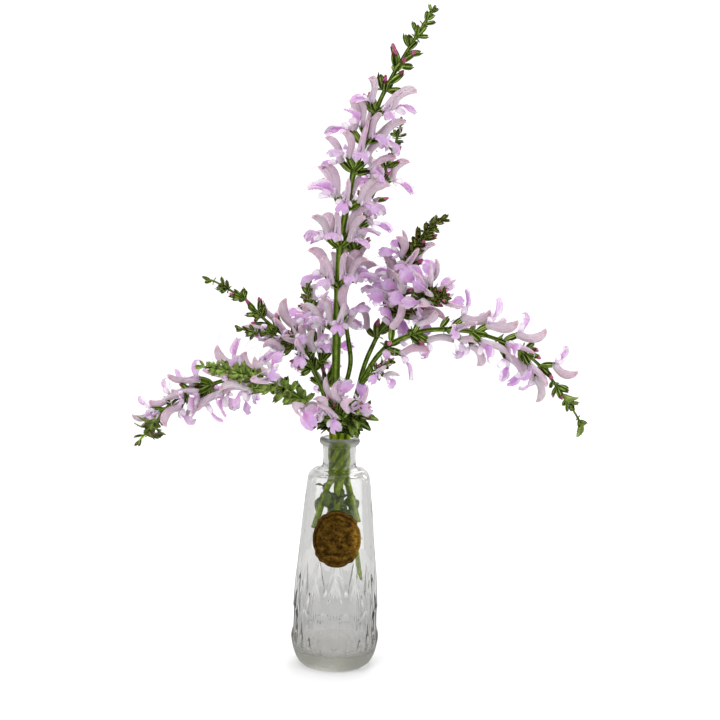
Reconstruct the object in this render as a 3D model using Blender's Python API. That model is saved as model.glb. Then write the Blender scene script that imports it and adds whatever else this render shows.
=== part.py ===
"""Cut salvia in a small pressed-glass bottle.

The bottle stands on its flat base at the origin, with +Z up and its round seal facing -Y. Seven cut
stems cross in its neck and fan out into thirteen flowering spikes. Every length below is in
millimetres, and each object is made in metres.
"""

import math
import random
from typing import NamedTuple

import bmesh
import bpy
from mathutils import Matrix, Vector

MM = 0.001
GAP = 0.3  # clearance between pieces that touch

# Bottle: a turned outer profile as (radius, height), then the cavity
BOTTLE_PROFILE = (
    (23.0, 0.0), (26.4, 3.4), (29.0, 9.0), (30.6, 16.0), (30.9, 22.0), (30.9, 29.0), (30.7, 37.0),
    (30.2, 47.0), (29.3, 58.0), (28.2, 70.0), (26.9, 84.0), (25.4, 102.0), (23.6, 120.0), (22.2, 133.0),
    (20.9, 137.6), (18.4, 140.2), (12.2, 142.4), (11.9, 156.8), (13.4, 158.0), (14.4, 160.4), (13.6, 162.6),
)
BOTTLE_HEIGHT = 163.0
BOTTLE_SIDES = 24
WALL = 4.8
FLOOR_THICKNESS = 12.0
BORE_RADIUS = 8.6
MOUTH_FLARE = 11.6
SHOULDER_INSIDE = 134.0
NECK_BOTTOM = 139.0

# Pressed relief: twelve cut flutes that point down, and twelve between them that point up
FLUTE_DEPTH = 1.5
DOWN_FLUTE = (24.0, 71.0)
UP_FLUTE = (12.0, 44.0)

# Seal: a round cast plaque that wraps round the front of the bottle
SEAL_WIDTH = 34.8
SEAL_LENGTH = 40.4
SEAL_HEIGHT = 95.8
SEAL_FIELD = 1.7
SEAL_RIM = 2.7
SEAL_SIDES = 32
SEAL_LOBE = 1.1

# Stems in the neck: one in the middle, six in a ring that twists as they cross
RING_RADIUS = 6.1
TWIST = math.radians(140.0)
MOUTH_LEVEL = 166.0
TWIST_END = 125.0
SPREAD_START = 136.0

SAMPLE = 2.0  # spacing along a stem at which its place and direction are worked out
CLEAR = 0.45  # least room between the growth of two stems
STEM_STEP = 12.0  # spacing of the rings that a stem's solid is made through
TAPER = 1.3  # above 1, a stem keeps its thickness further up

# Whorls and leaves
TIP_GAP = 3.0  # from the tip of a spike to its first whorl
WHORL_TURN = 45.0
LEAF_TILT = math.radians(58.0)
REACH = 45.0  # growth further off than this can't be met

SMOOTH_ANGLE = math.radians(35.0)


class Foot(NamedTuple):
    """A stem inside the bottle: where it stands in the ring, and where its cut end is."""

    azimuth: float
    end_level: float
    end_radius: float


class Spike(NamedTuple):
    """One flowering spike, and the rule for what grows on it. Whorls are counted from the tip."""

    name: str
    stem: str
    route: tuple
    thickness: tuple
    whorls: int
    first_gap: float
    gap_growth: float
    flowers: int
    open_whorls: tuple
    open_share: float
    size: float
    turn: float


FEET = {
    "stem_tall": None,
    "stem_right_arching": Foot(-14.0, 99.0, 17.8),
    "stem_right_upright": Foot(47.0, 84.0, 17.5),
    "stem_back": Foot(110.0, 104.0, 16.5),
    "stem_left_upper": Foot(172.0, 58.0, 21.0),
    "stem_left_arching": Foot(232.0, 76.0, 20.0),
    "stem_mouth": Foot(286.0, 116.0, 14.0),
}
TALL_STEM_END = 82.0

SPIKES = (
    Spike("tall", "stem_tall",
          ((-3, 0, 189), (-4, -1, 211), (-4, -2, 232), (-4, -3, 260), (-3, -4, 298), (1, -4, 327),
           (6, -3, 354), (13, -2, 372), (20, 0, 394), (28, 2, 412), (35, 3, 425), (42, 4, 437),
           (52, 4, 454), (57, 4, 462)),
          (3.4, 0.9), 13, 8.0, 2.1, 6, (6, 12), 0.92, 1.0, 10.0),
    Spike("tall_side", "stem_tall",
          ((-3, 1, 183), (3, 7, 200), (6, 12, 216), (3, 16, 236), (0, 19, 256), (3, 22, 273), (6, 24, 290),
           (8, 26, 306), (14, 29, 323), (22, 32, 341), (29, 33, 357), (34, 34, 372), (38, 34, 388)),
          (1.9, 0.7), 9, 9.0, 1.7, 4, (3, 8), 0.75, 0.9, 30.0),
    Spike("right_long", "stem_right_arching",
          ((11, -7, 194), (17, -10, 209), (26, -14, 224), (38, -18, 234), (59, -22, 242), (85, -22, 242),
           (106, -20, 237), (122, -18, 230), (136, -16, 220), (147, -15, 208), (157, -14, 195),
           (164, -13, 185), (168, -13, 178)),
          (2.2, 0.7), 10, 15.0, 0.8, 4, (3, 9), 0.85, 0.95, 20.0),
    Spike("right_stub", "stem_right_arching",
          ((15, -9, 203), (21, -22, 211), (28, -32, 217), (34, -40, 222)),
          (1.6, 0.7), 3, 8.0, 1.0, 4, (1, 2), 0.5, 0.85, 0.0),
    Spike("right_up", "stem_right_upright",
          ((10, 12, 188), (16, 16, 213), (25, 18, 235), (34, 16, 256), (41, 12, 275), (46, 6, 292),
           (53, 0, 305), (61, -6, 314), (69, -11, 319)),
          (2.0, 0.8), 9, 6.5, 1.7, 6, (5, 8), 0.75, 0.95, 15.0),
    Spike("right_front", "stem_right_upright",
          ((25, 18, 235), (35, 8, 248), (45, -8, 257), (55, -25, 263), (63, -43, 266), (68, -60, 266)),
          (1.7, 0.8), 7, 6.0, 2.2, 6, (3, 6), 0.65, 0.95, 40.0),
    Spike("back", "stem_back",
          ((-7, 18, 183), (-12, 32, 200), (-18, 46, 219), (-23, 58, 238), (-27, 68, 256), (-30, 76, 270)),
          (1.9, 0.7), 7, 9.0, 2.2, 5, (2, 6), 0.6, 0.95, 5.0),
    Spike("left_up", "stem_left_upper",
          ((-9, 6, 181), (-15, 12, 198), (-24, 16, 215), (-38, 18, 229), (-52, 18, 240), (-62, 17, 249),
           (-68, 16, 256), (-81, 14, 264), (-92, 12, 270), (-98, 11, 271)),
          (1.9, 0.6), 7, 13.0, 1.2, 4, (4, 6), 0.9, 0.95, 45.0),
    Spike("left_small", "stem_left_upper",
          ((-15, 12, 198), (-26, 6, 219), (-38, 2, 229), (-51, -2, 235), (-62, -5, 236), (-73, -8, 239)),
          (1.5, 0.6), 5, 10.0, 2.0, 4, (3, 4), 0.7, 0.9, 0.0),
    Spike("left_long", "stem_left_arching",
          ((-13, -9, 180), (-29, -16, 189), (-47, -20, 198), (-63, -20, 203), (-80, -18, 203),
           (-96, -18, 197), (-109, -20, 192), (-120, -22, 183), (-128, -24, 174), (-134, -25, 165),
           (-138, -26, 160)),
          (2.2, 0.7), 7, 14.0, 1.0, 5, (2, 6), 0.9, 0.95, 25.0),
    Spike("left_front", "stem_left_arching",
          ((-13, -9, 180), (-25, -22, 191), (-36, -34, 199), (-51, -44, 205), (-60, -50, 209),
           (-70, -54, 213), (-79, -58, 215), (-88, -60, 216), (-94, -62, 217)),
          (1.8, 0.7), 8, 8.0, 1.2, 5, (3, 7), 0.35, 0.9, 30.0),
    Spike("mouth_front", "stem_mouth",
          ((8, -12, 176), (13, -18, 182), (18, -23, 187)),
          (1.7, 0.9), 2, 7.0, 1.0, 4, (0, 1), 0.1, 1.3, 0.0),
    Spike("mouth_bloom", "stem_mouth",
          ((5, -9, 171), (2, -14, 178), (-2, -18, 183), (-4, -21, 187)),
          (1.5, 0.9), 2, 7.0, 1.0, 4, (0, 1), 0.9, 1.5, 20.0),
)

# Leaves: spike, height on its stem, direction seen from above, length
LEAVES = (
    ("tall", 176.0, 60.0, 15.0), ("tall", 176.0, 200.0, 15.0), ("tall", 178.0, 330.0, 14.0),
    ("right_long", 177.0, 340.0, 15.0), ("right_long", 180.0, 230.0, 14.0),
    ("right_long", 200.0, 310.0, 14.0),
    ("right_up", 178.0, 40.0, 15.0), ("right_up", 182.0, 120.0, 14.0),
    ("back", 176.0, 100.0, 15.0), ("back", 180.0, 160.0, 14.0),
    ("left_up", 177.0, 170.0, 15.0), ("left_up", 182.0, 240.0, 14.0),
    ("left_long", 176.0, 215.0, 15.0), ("left_long", 179.0, 270.0, 14.0),
    ("mouth_front", 177.0, 290.0, 15.0), ("mouth_front", 180.0, 350.0, 16.0),
    ("mouth_front", 183.0, 250.0, 13.0),
    ("mouth_front", 172.0, 310.0, 12.0), ("mouth_front", 172.0, 230.0, 12.0), ("tall", 170.0, 270.0, 12.0),
    ("right_long", 171.0, 20.0, 12.0), ("right_up", 172.0, 80.0, 12.0), ("back", 171.0, 60.0, 12.0),
    ("left_up", 171.0, 140.0, 12.0), ("left_long", 171.0, 180.0, 12.0),
    ("mouth_front", 124.0, 195.0, 14.0), ("right_up", 116.0, 300.0, 15.0), ("right_up", 118.0, 240.0, 13.0),
    ("back", 114.0, 330.0, 14.0),
)


class Organ(NamedTuple):
    """Something that grows on a stem: its kind, its place and axes as a matrix, and its size."""

    stem: str
    kind: str
    matrix: Matrix
    size: float


# Balls, as (forward, up, radius), that enclose each kind of organ
BALLS = {
    "calyx": ((5.0, 0.0, 2.0), (8.5, 0.0, 2.8), (11.5, 0.0, 1.8)),
    "bud": ((5.0, 0.0, 2.0), (8.5, 0.0, 2.8), (12.0, 0.0, 2.4), (15.0, 0.3, 1.8)),
    "open": ((5.0, 0.0, 2.0), (9.0, 0.0, 2.9), (12.5, 0.3, 3.0), (17.1, 4.3, 3.0), (22.0, 6.4, 3.8),
             (27.4, 6.4, 3.9), (32.0, 4.2, 3.2), (35.0, 1.5, 2.0), (16.5, -2.6, 2.6), (20.6, -5.2, 4.5),
             (23.8, -9.6, 4.2)),
    "leaf": ((0.2, 0.0, 0.12), (0.45, 0.0, 0.2), (0.7, 0.0, 0.19), (0.92, 0.0, 0.1)),
}
OPEN_OVERLAP = 0.5  # how far open flowers of one stem may sink into each other's balls


def smoothstep(share):
    share = min(1.0, max(0.0, share))
    return share * share * (3 - 2 * share)


def lerp_table(table, height):
    """The radius at a height, read from a table of (radius, height)."""
    for (low_radius, low), (high_radius, high) in zip(table, table[1:]):
        if low <= height <= high:
            return low_radius + (high_radius - low_radius) * (height - low) / (high - low)
    return table[-1][0] if height > table[-1][1] else table[0][0]


def bottle_radius(height):
    return lerp_table(BOTTLE_PROFILE, height)


def foot_points(foot):
    """A stem's points from its cut end up to the mouth, twisting round the middle of the neck."""
    if foot is None:
        return [Vector((0.0, 0.0, z)) for z in (TALL_STEM_END, 110.0, 138.0, MOUTH_LEVEL)]
    points = []
    steps = 14
    for i in range(steps + 1):
        level = foot.end_level + (MOUTH_LEVEL - foot.end_level) * i / steps
        turned = TWIST * smoothstep((MOUTH_LEVEL - level) / (MOUTH_LEVEL - TWIST_END))
        spread = max(0.0, (SPREAD_START - level) / (SPREAD_START - foot.end_level))
        radius = RING_RADIUS + (foot.end_radius - RING_RADIUS) * spread
        angle = math.radians(foot.azimuth) - turned
        points.append(Vector((radius * math.cos(angle), radius * math.sin(angle), level)))
    return points


def smooth_curve(points, step=SAMPLE):
    """A Catmull-Rom curve through the points, as points a step apart."""
    ends = [points[0] * 2 - points[1], *points, points[-1] * 2 - points[-2]]
    fine = []
    for a, b, c, d in zip(ends, ends[1:], ends[2:], ends[3:]):
        pieces = max(2, math.ceil((c - b).length))
        for i in range(pieces):
            t = i / pieces
            fine.append(0.5 * (2 * b + (c - a) * t + (2 * a - 5 * b + 4 * c - d) * t * t
                               + (3 * b - a - 3 * c + d) * t ** 3))
    fine.append(points[-1].copy())
    length = sum((q - p).length for p, q in zip(fine, fine[1:]))
    count = max(2, round(length / step))
    spaced, travelled, target = [fine[0]], 0.0, length / count
    for p, q in zip(fine, fine[1:]):
        gap = (q - p).length
        while travelled + gap >= target - 1e-6 and len(spaced) < count:
            spaced.append(p.lerp(q, (target - travelled) / gap))
            target += length / count
        travelled += gap
    spaced.append(fine[-1])
    return spaced


class Line:
    """A stem's centre line, with a frame that doesn't twist, and its radius."""

    def __init__(self, spike, is_main):
        above = [Vector(p) for p in spike.route]
        below = foot_points(FEET[spike.stem]) if is_main else []
        self.spike = spike
        self.points = smooth_curve([*below, *above])
        last = len(self.points) - 1
        self.tangents = [(self.points[min(i + 1, last)] - self.points[max(i - 1, 0)]).normalized()
                         for i in range(last + 1)]
        self.normals = []
        side = Vector((0.0, -1.0, 0.0))
        for tangent in self.tangents:
            side = (side - tangent * side.dot(tangent)).normalized()
            self.normals.append(side)
        root, tip = spike.thickness
        mouth = sum(1 for p in self.points if p.z < MOUTH_LEVEL) if is_main else 0
        self.radii = [root + (tip - root) * max(0.0, (i - mouth) / (last - mouth)) ** TAPER
                      for i in range(last + 1)]

    def from_tip(self, distance):
        """The index of the point that far from the tip."""
        return max(0, len(self.points) - 1 - round(distance / SAMPLE))

    def at_height(self, height):
        return min(range(len(self.points)), key=lambda i: abs(self.points[i].z - height))

    def organ(self, index, kind, azimuth, tilt, size):
        """An organ at a point, leaning from the stem by tilt, with its upper side towards the tip."""
        tangent, normal = self.tangents[index], self.normals[index]
        out = normal * math.cos(azimuth) + tangent.cross(normal) * math.sin(azimuth)
        forward = tangent * math.cos(tilt) + out * math.sin(tilt)
        upward = tangent * math.sin(tilt) - out * math.cos(tilt)
        matrix = Matrix((forward, upward.cross(forward), upward)).transposed().to_4x4()
        matrix.translation = self.points[index]
        return Organ(self.spike.stem, kind, matrix, size)


def balls_of(organ):
    return [(organ.matrix @ Vector((x * organ.size, 0.0, z * organ.size)), r * organ.size)
            for x, z, r in BALLS[organ.kind]]


def meets_bottle(centre, radius):
    """True if a ball meets the glass or the surface that the bottle stands on."""
    away = math.hypot(centre.x, centre.y)
    if centre.z - radius > BOTTLE_HEIGHT + 1.0:
        return False
    if away > BOTTLE_PROFILE[3][0] + radius + 1.0:
        return centre.z < radius
    inside = bottle_radius(centre.z) - WALL - 1.0
    return centre.z + radius > SHOULDER_INSIDE or away + radius > inside


class Space:
    """The balls of what has grown, kept by stem, so that one stem's growth stays clear of another's."""

    def __init__(self, lines):
        self.balls = {stem: [] for stem in FEET}
        self.flowers = {stem: [] for stem in FEET}
        for line in lines:
            self.balls[line.spike.stem] += list(zip(line.points[::2], line.radii[::2]))

    def is_free(self, organ):
        balls = balls_of(organ)
        if any(meets_bottle(*ball) for ball in balls):
            return False
        others = [ball for stem in FEET if stem != organ.stem for ball in self.balls[stem]]
        near = [(c, r) for c, r in others if (c - balls[-1][0]).length < REACH]
        for centre, radius in balls:
            for other, other_radius in near:
                if (centre - other).length < radius + other_radius + CLEAR:
                    return False
        if organ.kind != "open":
            return True
        for centre, radius in balls[3:]:
            for other, other_radius in self.flowers[organ.stem]:
                if (centre - other).length < (radius + other_radius) * OPEN_OVERLAP:
                    return False
        return True

    def add(self, organ):
        balls = balls_of(organ)
        self.balls[organ.stem] += balls
        if organ.kind == "open":
            self.flowers[organ.stem] += balls[3:]


def settle(space, line, index, kinds, azimuth, tilt, size):
    """The first kind of organ that has room at this place, turned a little if it has to be."""
    for kind in kinds:
        for turn in (0, 15, -15, 30, -30):
            for lean in (0, -12, 12):
                organ = line.organ(index, kind, azimuth + math.radians(turn),
                                   tilt + math.radians(lean), size)
                if space.is_free(organ):
                    space.add(organ)
                    return organ
    return None


def whorl_organs(space, line, seed):
    """Every calyx, bud and open flower of a spike, whorl by whorl from the tip."""
    spike, draw, organs = line.spike, random.Random(seed), []
    for whorl in range(spike.whorls):
        distance = TIP_GAP + spike.first_gap * whorl + spike.gap_growth * whorl * (whorl - 1) / 2
        index = line.from_tip(distance)
        size = spike.size * min(1.0, 0.5 + 0.12 * whorl)
        count = spike.flowers if whorl > 1 else min(4, spike.flowers)
        lean = math.radians(min(54.0, 30.0 + 5.0 * whorl))
        first, last = spike.open_whorls
        for i in range(count):
            azimuth = math.radians(spike.turn + WHORL_TURN * whorl + 360.0 * i / count
                                   + draw.uniform(-9, 9))
            tilt = lean + math.radians(draw.uniform(-13, 11))
            chance = draw.random()
            if first <= whorl <= last and chance < spike.open_share * (0.5 if whorl == first else 1.0):
                kinds = ("open", "bud", "calyx")
            elif first - 2 <= whorl <= last and chance > 0.55:
                kinds = ("bud", "calyx")
            else:
                kinds = ("calyx",)
            scale = size * draw.uniform(0.9, 1.08)
            organ = settle(space, line, index, kinds, azimuth, tilt, scale)
            if organ:
                organs.append(organ)
    return organs


def leaf_organs(space, lines):
    """The leaves near the mouth and inside the bottle."""
    organs = []
    for name, height, compass, length in LEAVES:
        line = lines[name]
        index = line.at_height(height)
        tangent, normal = line.tangents[index], line.normals[index]
        wanted = Vector((math.cos(math.radians(compass)), math.sin(math.radians(compass)), 0.0))
        azimuth = math.atan2(wanted.dot(tangent.cross(normal)), wanted.dot(normal))
        organ = settle(space, line, index, ("leaf",), azimuth, LEAF_TILT, length)
        if organ:
            organs.append(organ)
    return organs


def grow():
    """Every stem's line by spike name, and every organ, in the order that they take up room."""
    main = {}
    for spike in SPIKES:
        main.setdefault(spike.stem, spike.name)
    lines = {s.name: Line(s, main[s.stem] == s.name) for s in SPIKES}
    space = Space(lines.values())
    organs = leaf_organs(space, lines)
    for seed, spike in enumerate(SPIKES):
        organs += whorl_organs(space, lines[spike.name], seed)
    return lines, organs


def clear_scene():
    for obj in list(bpy.data.objects):
        bpy.data.objects.remove(obj)


def make_material(name, colour, roughness, metallic=0.0, transmission=0.0):
    material = bpy.data.materials.new(name)
    material.use_nodes = True
    shader = material.node_tree.nodes["Principled BSDF"]
    shader.inputs["Base Color"].default_value = (*colour, 1.0)
    shader.inputs["Roughness"].default_value = roughness
    shader.inputs["Metallic"].default_value = metallic
    shader.inputs["Transmission Weight"].default_value = transmission
    material.diffuse_color = (*colour, 1.0)
    return material


def make_object(name, mesh, *materials):
    obj = bpy.data.objects.new(name, mesh)
    for material in materials:
        obj.data.materials.append(material)
    bpy.context.scene.collection.objects.link(obj)
    return obj


def loft(name, rings, matrix=Matrix(), petal_from=None):
    """A closed mesh through rings of points in millimetres. A ring of one point is a tip.

    Faces from the ring numbered petal_from take the second material.
    """
    bm = bmesh.new()
    loops = [[bm.verts.new(matrix @ Vector(p) * MM) for p in ring] for ring in rings]
    for number, (low, high) in enumerate(zip(loops, loops[1:])):
        for i in range(max(len(low), len(high))):
            corners = [low[i % len(low)], low[(i + 1) % len(low)],
                       high[(i + 1) % len(high)], high[i % len(high)]]
            face = bm.faces.new(dict.fromkeys(corners))
            face.material_index = int(petal_from is not None and number >= petal_from)
    for loop, turn in ((loops[0], -1), (loops[-1], 1)):
        if len(loop) > 2:
            bm.faces.new(loop[::turn])
    bmesh.ops.recalc_face_normals(bm, faces=bm.faces)
    mesh = bpy.data.meshes.new(name)
    bm.to_mesh(mesh)
    bm.free()
    return mesh


def flute_share(height, span):
    """How deep a flute is at a height, from 0 at its two ends to 1."""
    low, high = span
    share = (height - low) / (high - low)
    return math.sin(math.pi * share) if 0.0 < share < 1.0 else 0.0


def bottle_ring(radius, height, relief=False):
    ring = []
    for i in range(BOTTLE_SIDES):
        angle = math.tau * i / BOTTLE_SIDES
        cut = 0.0
        if relief:
            cut = FLUTE_DEPTH * flute_share(height, UP_FLUTE if i % 2 else DOWN_FLUTE)
        ring.append(((radius - cut) * math.cos(angle), (radius - cut) * math.sin(angle), height))
    return ring


def cavity_radii():
    """The cavity from its floor up to the mouth, as (radius, height)."""
    heights = (FLOOR_THICKNESS + 3.0, 22.0, 47.0, 70.0, 102.0, SHOULDER_INSIDE - 3.0)
    walls = [(bottle_radius(z) - WALL, z) for z in heights]
    floor = [(0.0, FLOOR_THICKNESS - 1.0), (walls[0][0] - 4.0, FLOOR_THICKNESS)]
    neck = [(walls[-1][0] - 4.0, SHOULDER_INSIDE), (BORE_RADIUS + 1.5, NECK_BOTTOM - 1.5),
            (BORE_RADIUS, NECK_BOTTOM + 2.0), (BORE_RADIUS, BOTTLE_HEIGHT - 5.0),
            (MOUTH_FLARE, BOTTLE_HEIGHT)]
    return floor + walls + neck


def make_bottle(glass):
    outside = [bottle_ring(r, z, relief=True) for r, z in BOTTLE_PROFILE]
    inside = [bottle_ring(r, z) for r, z in reversed(cavity_radii()) if r > 0.0]
    bottom = cavity_radii()[0][1]
    mesh = loft("bottle", [*outside, *inside, [(0.0, 0.0, bottom)]])
    mesh.shade_smooth()
    mesh.set_sharp_from_angle(angle=SMOOTH_ANGLE)
    return make_object("glass_bottle", mesh, glass)


def seal_outline(angle):
    """A point of the plaque's edge, flat: an oval with a double lobe at each of its four corners."""
    corner = (angle - math.pi / 4) % (math.pi / 2)
    corner = min(corner, math.pi / 2 - corner)
    lobe = math.exp(-((corner - 0.13) / 0.08) ** 2)
    notch = math.exp(-((corner - 0.3) / 0.09) ** 2)
    swell = SEAL_LOBE * (lobe - notch - 1.0) / 2
    return (SEAL_WIDTH / 2 + swell) * math.cos(angle), (SEAL_LENGTH / 2 + swell) * math.sin(angle)


def seal_point(across, up, thickness):
    """A point of the plaque, from its flat plan onto the front of the bottle."""
    height = SEAL_HEIGHT + up
    radius = bottle_radius(height)
    angle = -math.pi / 2 + across / bottle_radius(SEAL_HEIGHT)
    out = radius + GAP + thickness
    return (out * math.cos(angle), out * math.sin(angle), height)


def seal_ring(share, thickness):
    ring = []
    for i in range(SEAL_SIDES):
        across, up = seal_outline(math.tau * i / SEAL_SIDES)
        ring.append(seal_point(across * share, up * share, thickness))
    return ring


def make_seal(bronze):
    back = [seal_ring(share, 0.0) for share in (0.35, 0.7, 0.98)]
    front = [(1.0, SEAL_RIM - 0.7), (0.95, SEAL_RIM), (0.87, SEAL_RIM), (0.83, SEAL_FIELD),
             (0.42, SEAL_FIELD)]
    rings = [[seal_point(0.0, 0.0, 0.0)], *back, *(seal_ring(*step) for step in front),
             [seal_point(0.0, 0.0, SEAL_FIELD)]]
    mesh = loft("seal", rings)
    mesh.shade_smooth()
    mesh.set_sharp_from_angle(angle=SMOOTH_ANGLE)
    return make_object("bottle_seal", mesh, bronze)


def stem_sections(line):
    """Square rings along a stem, evenly spaced, each with its corners on the radius."""
    last = len(line.points) - 1
    pieces = max(2, round(last * SAMPLE / STEM_STEP))
    rings = []
    for step in range(pieces + 1):
        i = round(last * step / pieces)
        normal, side = line.normals[i], line.tangents[i].cross(line.normals[i])
        ring = []
        for corner in range(4):
            angle = math.radians(90.0 * corner)
            ring.append(line.points[i] + (normal * math.cos(angle) + side * math.sin(angle)) * line.radii[i])
        rings.append(ring)
    return rings


def calyx_mesh():
    """A young calyx, still shut, with its root in the stem."""
    belly = [(8.2, 0, 2.9), (8.6, 2.5, -1.6), (8.6, -2.5, -1.6)]
    return [[(-1.0, 0, 0)], belly, [(13.0, 0, 0.2)]]


def bud_mesh():
    """A calyx with the closed corolla showing in its mouth."""
    mouth = [(10.8, 0, 2.7), (11.4, 2.3, -1.6), (11.4, -2.3, -1.6)]
    return [[(-1.0, 0, 0)], mouth, [(17.0, 0, 0.8)]]


def hood_mesh():
    """A calyx, then the tube and the sickle-shaped upper lip: three-sided sections along an arc."""
    start, turn, length = 58.0, -118.0, 27.0
    sections = {4: (4.8, 2.1), 13: (7.4, 2.2)}
    rings = [[(-1.0, 0, 0)], [(11.6, 0, 3.0), (12.4, 2.6, -1.9), (12.4, -2.6, -1.9)]]
    x, z, steps = 13.4, 0.6, 20
    for i in range(steps + 1):
        angle = math.radians(start + turn * i / steps)
        if i in sections:
            depth, half = sections[i]
            up = (-math.sin(angle) * depth / 2, math.cos(angle) * depth / 2)
            rings.append([(x + up[0], 0, z + up[1]), (x - up[0], half, z - up[1]),
                          (x - up[0], -half, z - up[1])])
        x += length / steps * math.cos(angle)
        z += length / steps * math.sin(angle)
    return [*rings, [(x, 0, z)]]


def lip_mesh():
    """The lower lip: a broad lobe that hangs from the tube, a millimetre thick."""
    wide = [(20.8, 4.8, -4.8), (19.8, 0, -6.0), (20.8, -4.8, -4.8)]
    round_end = [(24.3, 3.6, -9.8), (23.3, 0, -10.4), (24.3, -3.6, -9.8)]
    return [[(11.0, 0, 0)], wide, round_end, [(24.6, 0, -12.8)]]


def leaf_mesh():
    """A leaf blade folded along its midrib and arched, in proportion to its length of one."""
    thick = 0.055
    rings = [[(-0.08, 0, 0)]]
    for x, z, half in ((0.3, 0.03, 0.18), (0.7, 0.04, 0.19)):
        rings.append([(x, half, z + 0.3 * half), (x, 0, z + thick / 2), (x, -half, z + 0.3 * half),
                      (x, 0, z - thick / 2)])
    return [*rings, [(1.0, 0, -0.04)]]


# Each kind of organ as meshes, each with the ring from which it has a petal's colour
SHAPES = {
    "calyx": ((calyx_mesh, None),),
    "bud": ((bud_mesh, 1),),
    "open": ((hood_mesh, 1), (lip_mesh, 0)),
    "leaf": ((leaf_mesh, None),),
}


def make_stem(stem, lines, organs, green, pink):
    """One cut stem with its side branches and all that grows on them, fused into one solid."""
    own = [line for line in lines.values() if line.spike.stem == stem]
    body = make_object(stem, loft(stem, stem_sections(own[0])), green, pink)
    repeats = bpy.data.collections.new(stem + "_repeats")
    bpy.context.scene.collection.children.link(repeats)

    def add(mesh):
        obj = bpy.data.objects.new("repeat", mesh)
        obj.data.materials.append(green)
        obj.data.materials.append(pink)
        repeats.objects.link(obj)

    for line in own[1:]:
        add(loft("branch", stem_sections(line)))
    for organ in (o for o in organs if o.stem == stem):
        placed = organ.matrix @ Matrix.Scale(organ.size, 4)
        for shape, petal_from in SHAPES[organ.kind]:
            add(loft("organ", shape(), placed, petal_from))
    union = body.modifiers.new("fuse", "BOOLEAN")
    union.operation = "UNION"
    union.solver = "MANIFOLD"
    union.operand_type = "COLLECTION"
    union.collection = repeats
    bpy.context.view_layer.update()
    graph = bpy.context.evaluated_depsgraph_get()
    fused = bpy.data.meshes.new_from_object(body.evaluated_get(graph))
    body.modifiers.clear()
    body.data = fused
    for obj in list(repeats.objects):
        bpy.data.objects.remove(obj)
    bpy.data.collections.remove(repeats)
    return body


def main():
    clear_scene()
    glass = make_material("clear_glass", (0.93, 0.94, 0.92), 0.04, transmission=1.0)
    bronze = make_material("aged_bronze", (0.32, 0.18, 0.05), 0.45, metallic=0.9)
    green = make_material("salvia_green", (0.11, 0.26, 0.03), 0.5)
    pink = make_material("salvia_petal", (0.78, 0.55, 0.75), 0.5)
    lines, organs = grow()
    make_bottle(glass)
    make_seal(bronze)
    for stem in FEET:
        make_stem(stem, lines, organs, green, pink)


main()
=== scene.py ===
"""The finished look of cut salvia in a small pressed-glass bottle.

It repeats the rule that places every flower on the solids, then grows a fine one in each place: a
green piece and a petal piece for each stem, and a fine bottle and seal. Lengths are in millimetres
until a mesh is made, in metres.
"""

import math
import random
from typing import NamedTuple

import bmesh
import bpy
from mathutils import Matrix, Vector, noise

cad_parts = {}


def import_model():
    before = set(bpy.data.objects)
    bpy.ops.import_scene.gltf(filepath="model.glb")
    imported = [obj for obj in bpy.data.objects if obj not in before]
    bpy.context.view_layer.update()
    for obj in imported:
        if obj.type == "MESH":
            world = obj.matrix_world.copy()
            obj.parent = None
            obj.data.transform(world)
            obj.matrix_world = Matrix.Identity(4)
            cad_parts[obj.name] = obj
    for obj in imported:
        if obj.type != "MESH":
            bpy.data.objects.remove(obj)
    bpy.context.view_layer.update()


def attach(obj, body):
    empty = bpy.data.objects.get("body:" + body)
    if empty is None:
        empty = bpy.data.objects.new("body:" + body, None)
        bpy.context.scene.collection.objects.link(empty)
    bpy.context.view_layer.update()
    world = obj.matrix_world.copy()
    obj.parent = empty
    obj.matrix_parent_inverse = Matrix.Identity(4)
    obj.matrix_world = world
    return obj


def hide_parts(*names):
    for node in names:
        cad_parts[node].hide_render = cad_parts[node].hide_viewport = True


MM = 0.001
GAP = 0.3  # clearance between pieces that touch

# Colours, linear
LEAF = (0.062, 0.118, 0.000)
LEAF_LIGHT = (0.46, 0.62, 0.16)
LEAF_DARK = (0.006, 0.018, 0.000)
STEM_DARK = (0.018, 0.040, 0.000)
STEM_LIGHT = (0.26, 0.38, 0.06)
BROWN = (0.050, 0.028, 0.008)
PITH = (0.50, 0.55, 0.20)
PINK = (0.66, 0.46, 0.59)
BLUSH = (0.64, 0.31, 0.43)
LILAC = (0.50, 0.35, 0.58)
VIOLET = (0.42, 0.17, 0.50)
CREAM = (0.66, 0.57, 0.60)
# painted shadow of the anthers inside the hood, seen through it near its tip
PAINTED_ANTHER_SHADOW = (0.42, 0.18, 0.15)
MAGENTA = (0.46, 0.06, 0.22)
CRIMSON = (0.17, 0.012, 0.035)
OCHRE = (0.40, 0.20, 0.03)
DARK_BRONZE = (0.040, 0.016, 0.000)
GOLD_BRONZE = (0.62, 0.34, 0.04)

# Bottle: a turned outer profile as (radius, height), then the cavity
BOTTLE_PROFILE = (
    (23.0, 0.0), (26.4, 3.4), (29.0, 9.0), (30.6, 16.0), (30.9, 22.0), (30.9, 29.0), (30.7, 37.0),
    (30.2, 47.0), (29.3, 58.0), (28.2, 70.0), (26.9, 84.0), (25.4, 102.0), (23.6, 120.0), (22.2, 133.0),
    (20.9, 137.6), (18.4, 140.2), (12.2, 142.4), (11.9, 156.8), (13.4, 158.0), (14.4, 160.4), (13.6, 162.6),
)
BOTTLE_HEIGHT = 163.0
WALL = 4.8
FLOOR_THICKNESS = 12.0
BORE_RADIUS = 8.6
MOUTH_FLARE = 11.6
SHOULDER_INSIDE = 134.0
NECK_BOTTOM = 139.0

# Pressed relief: twelve cut flutes that point down, and twelve between them that point up

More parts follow.
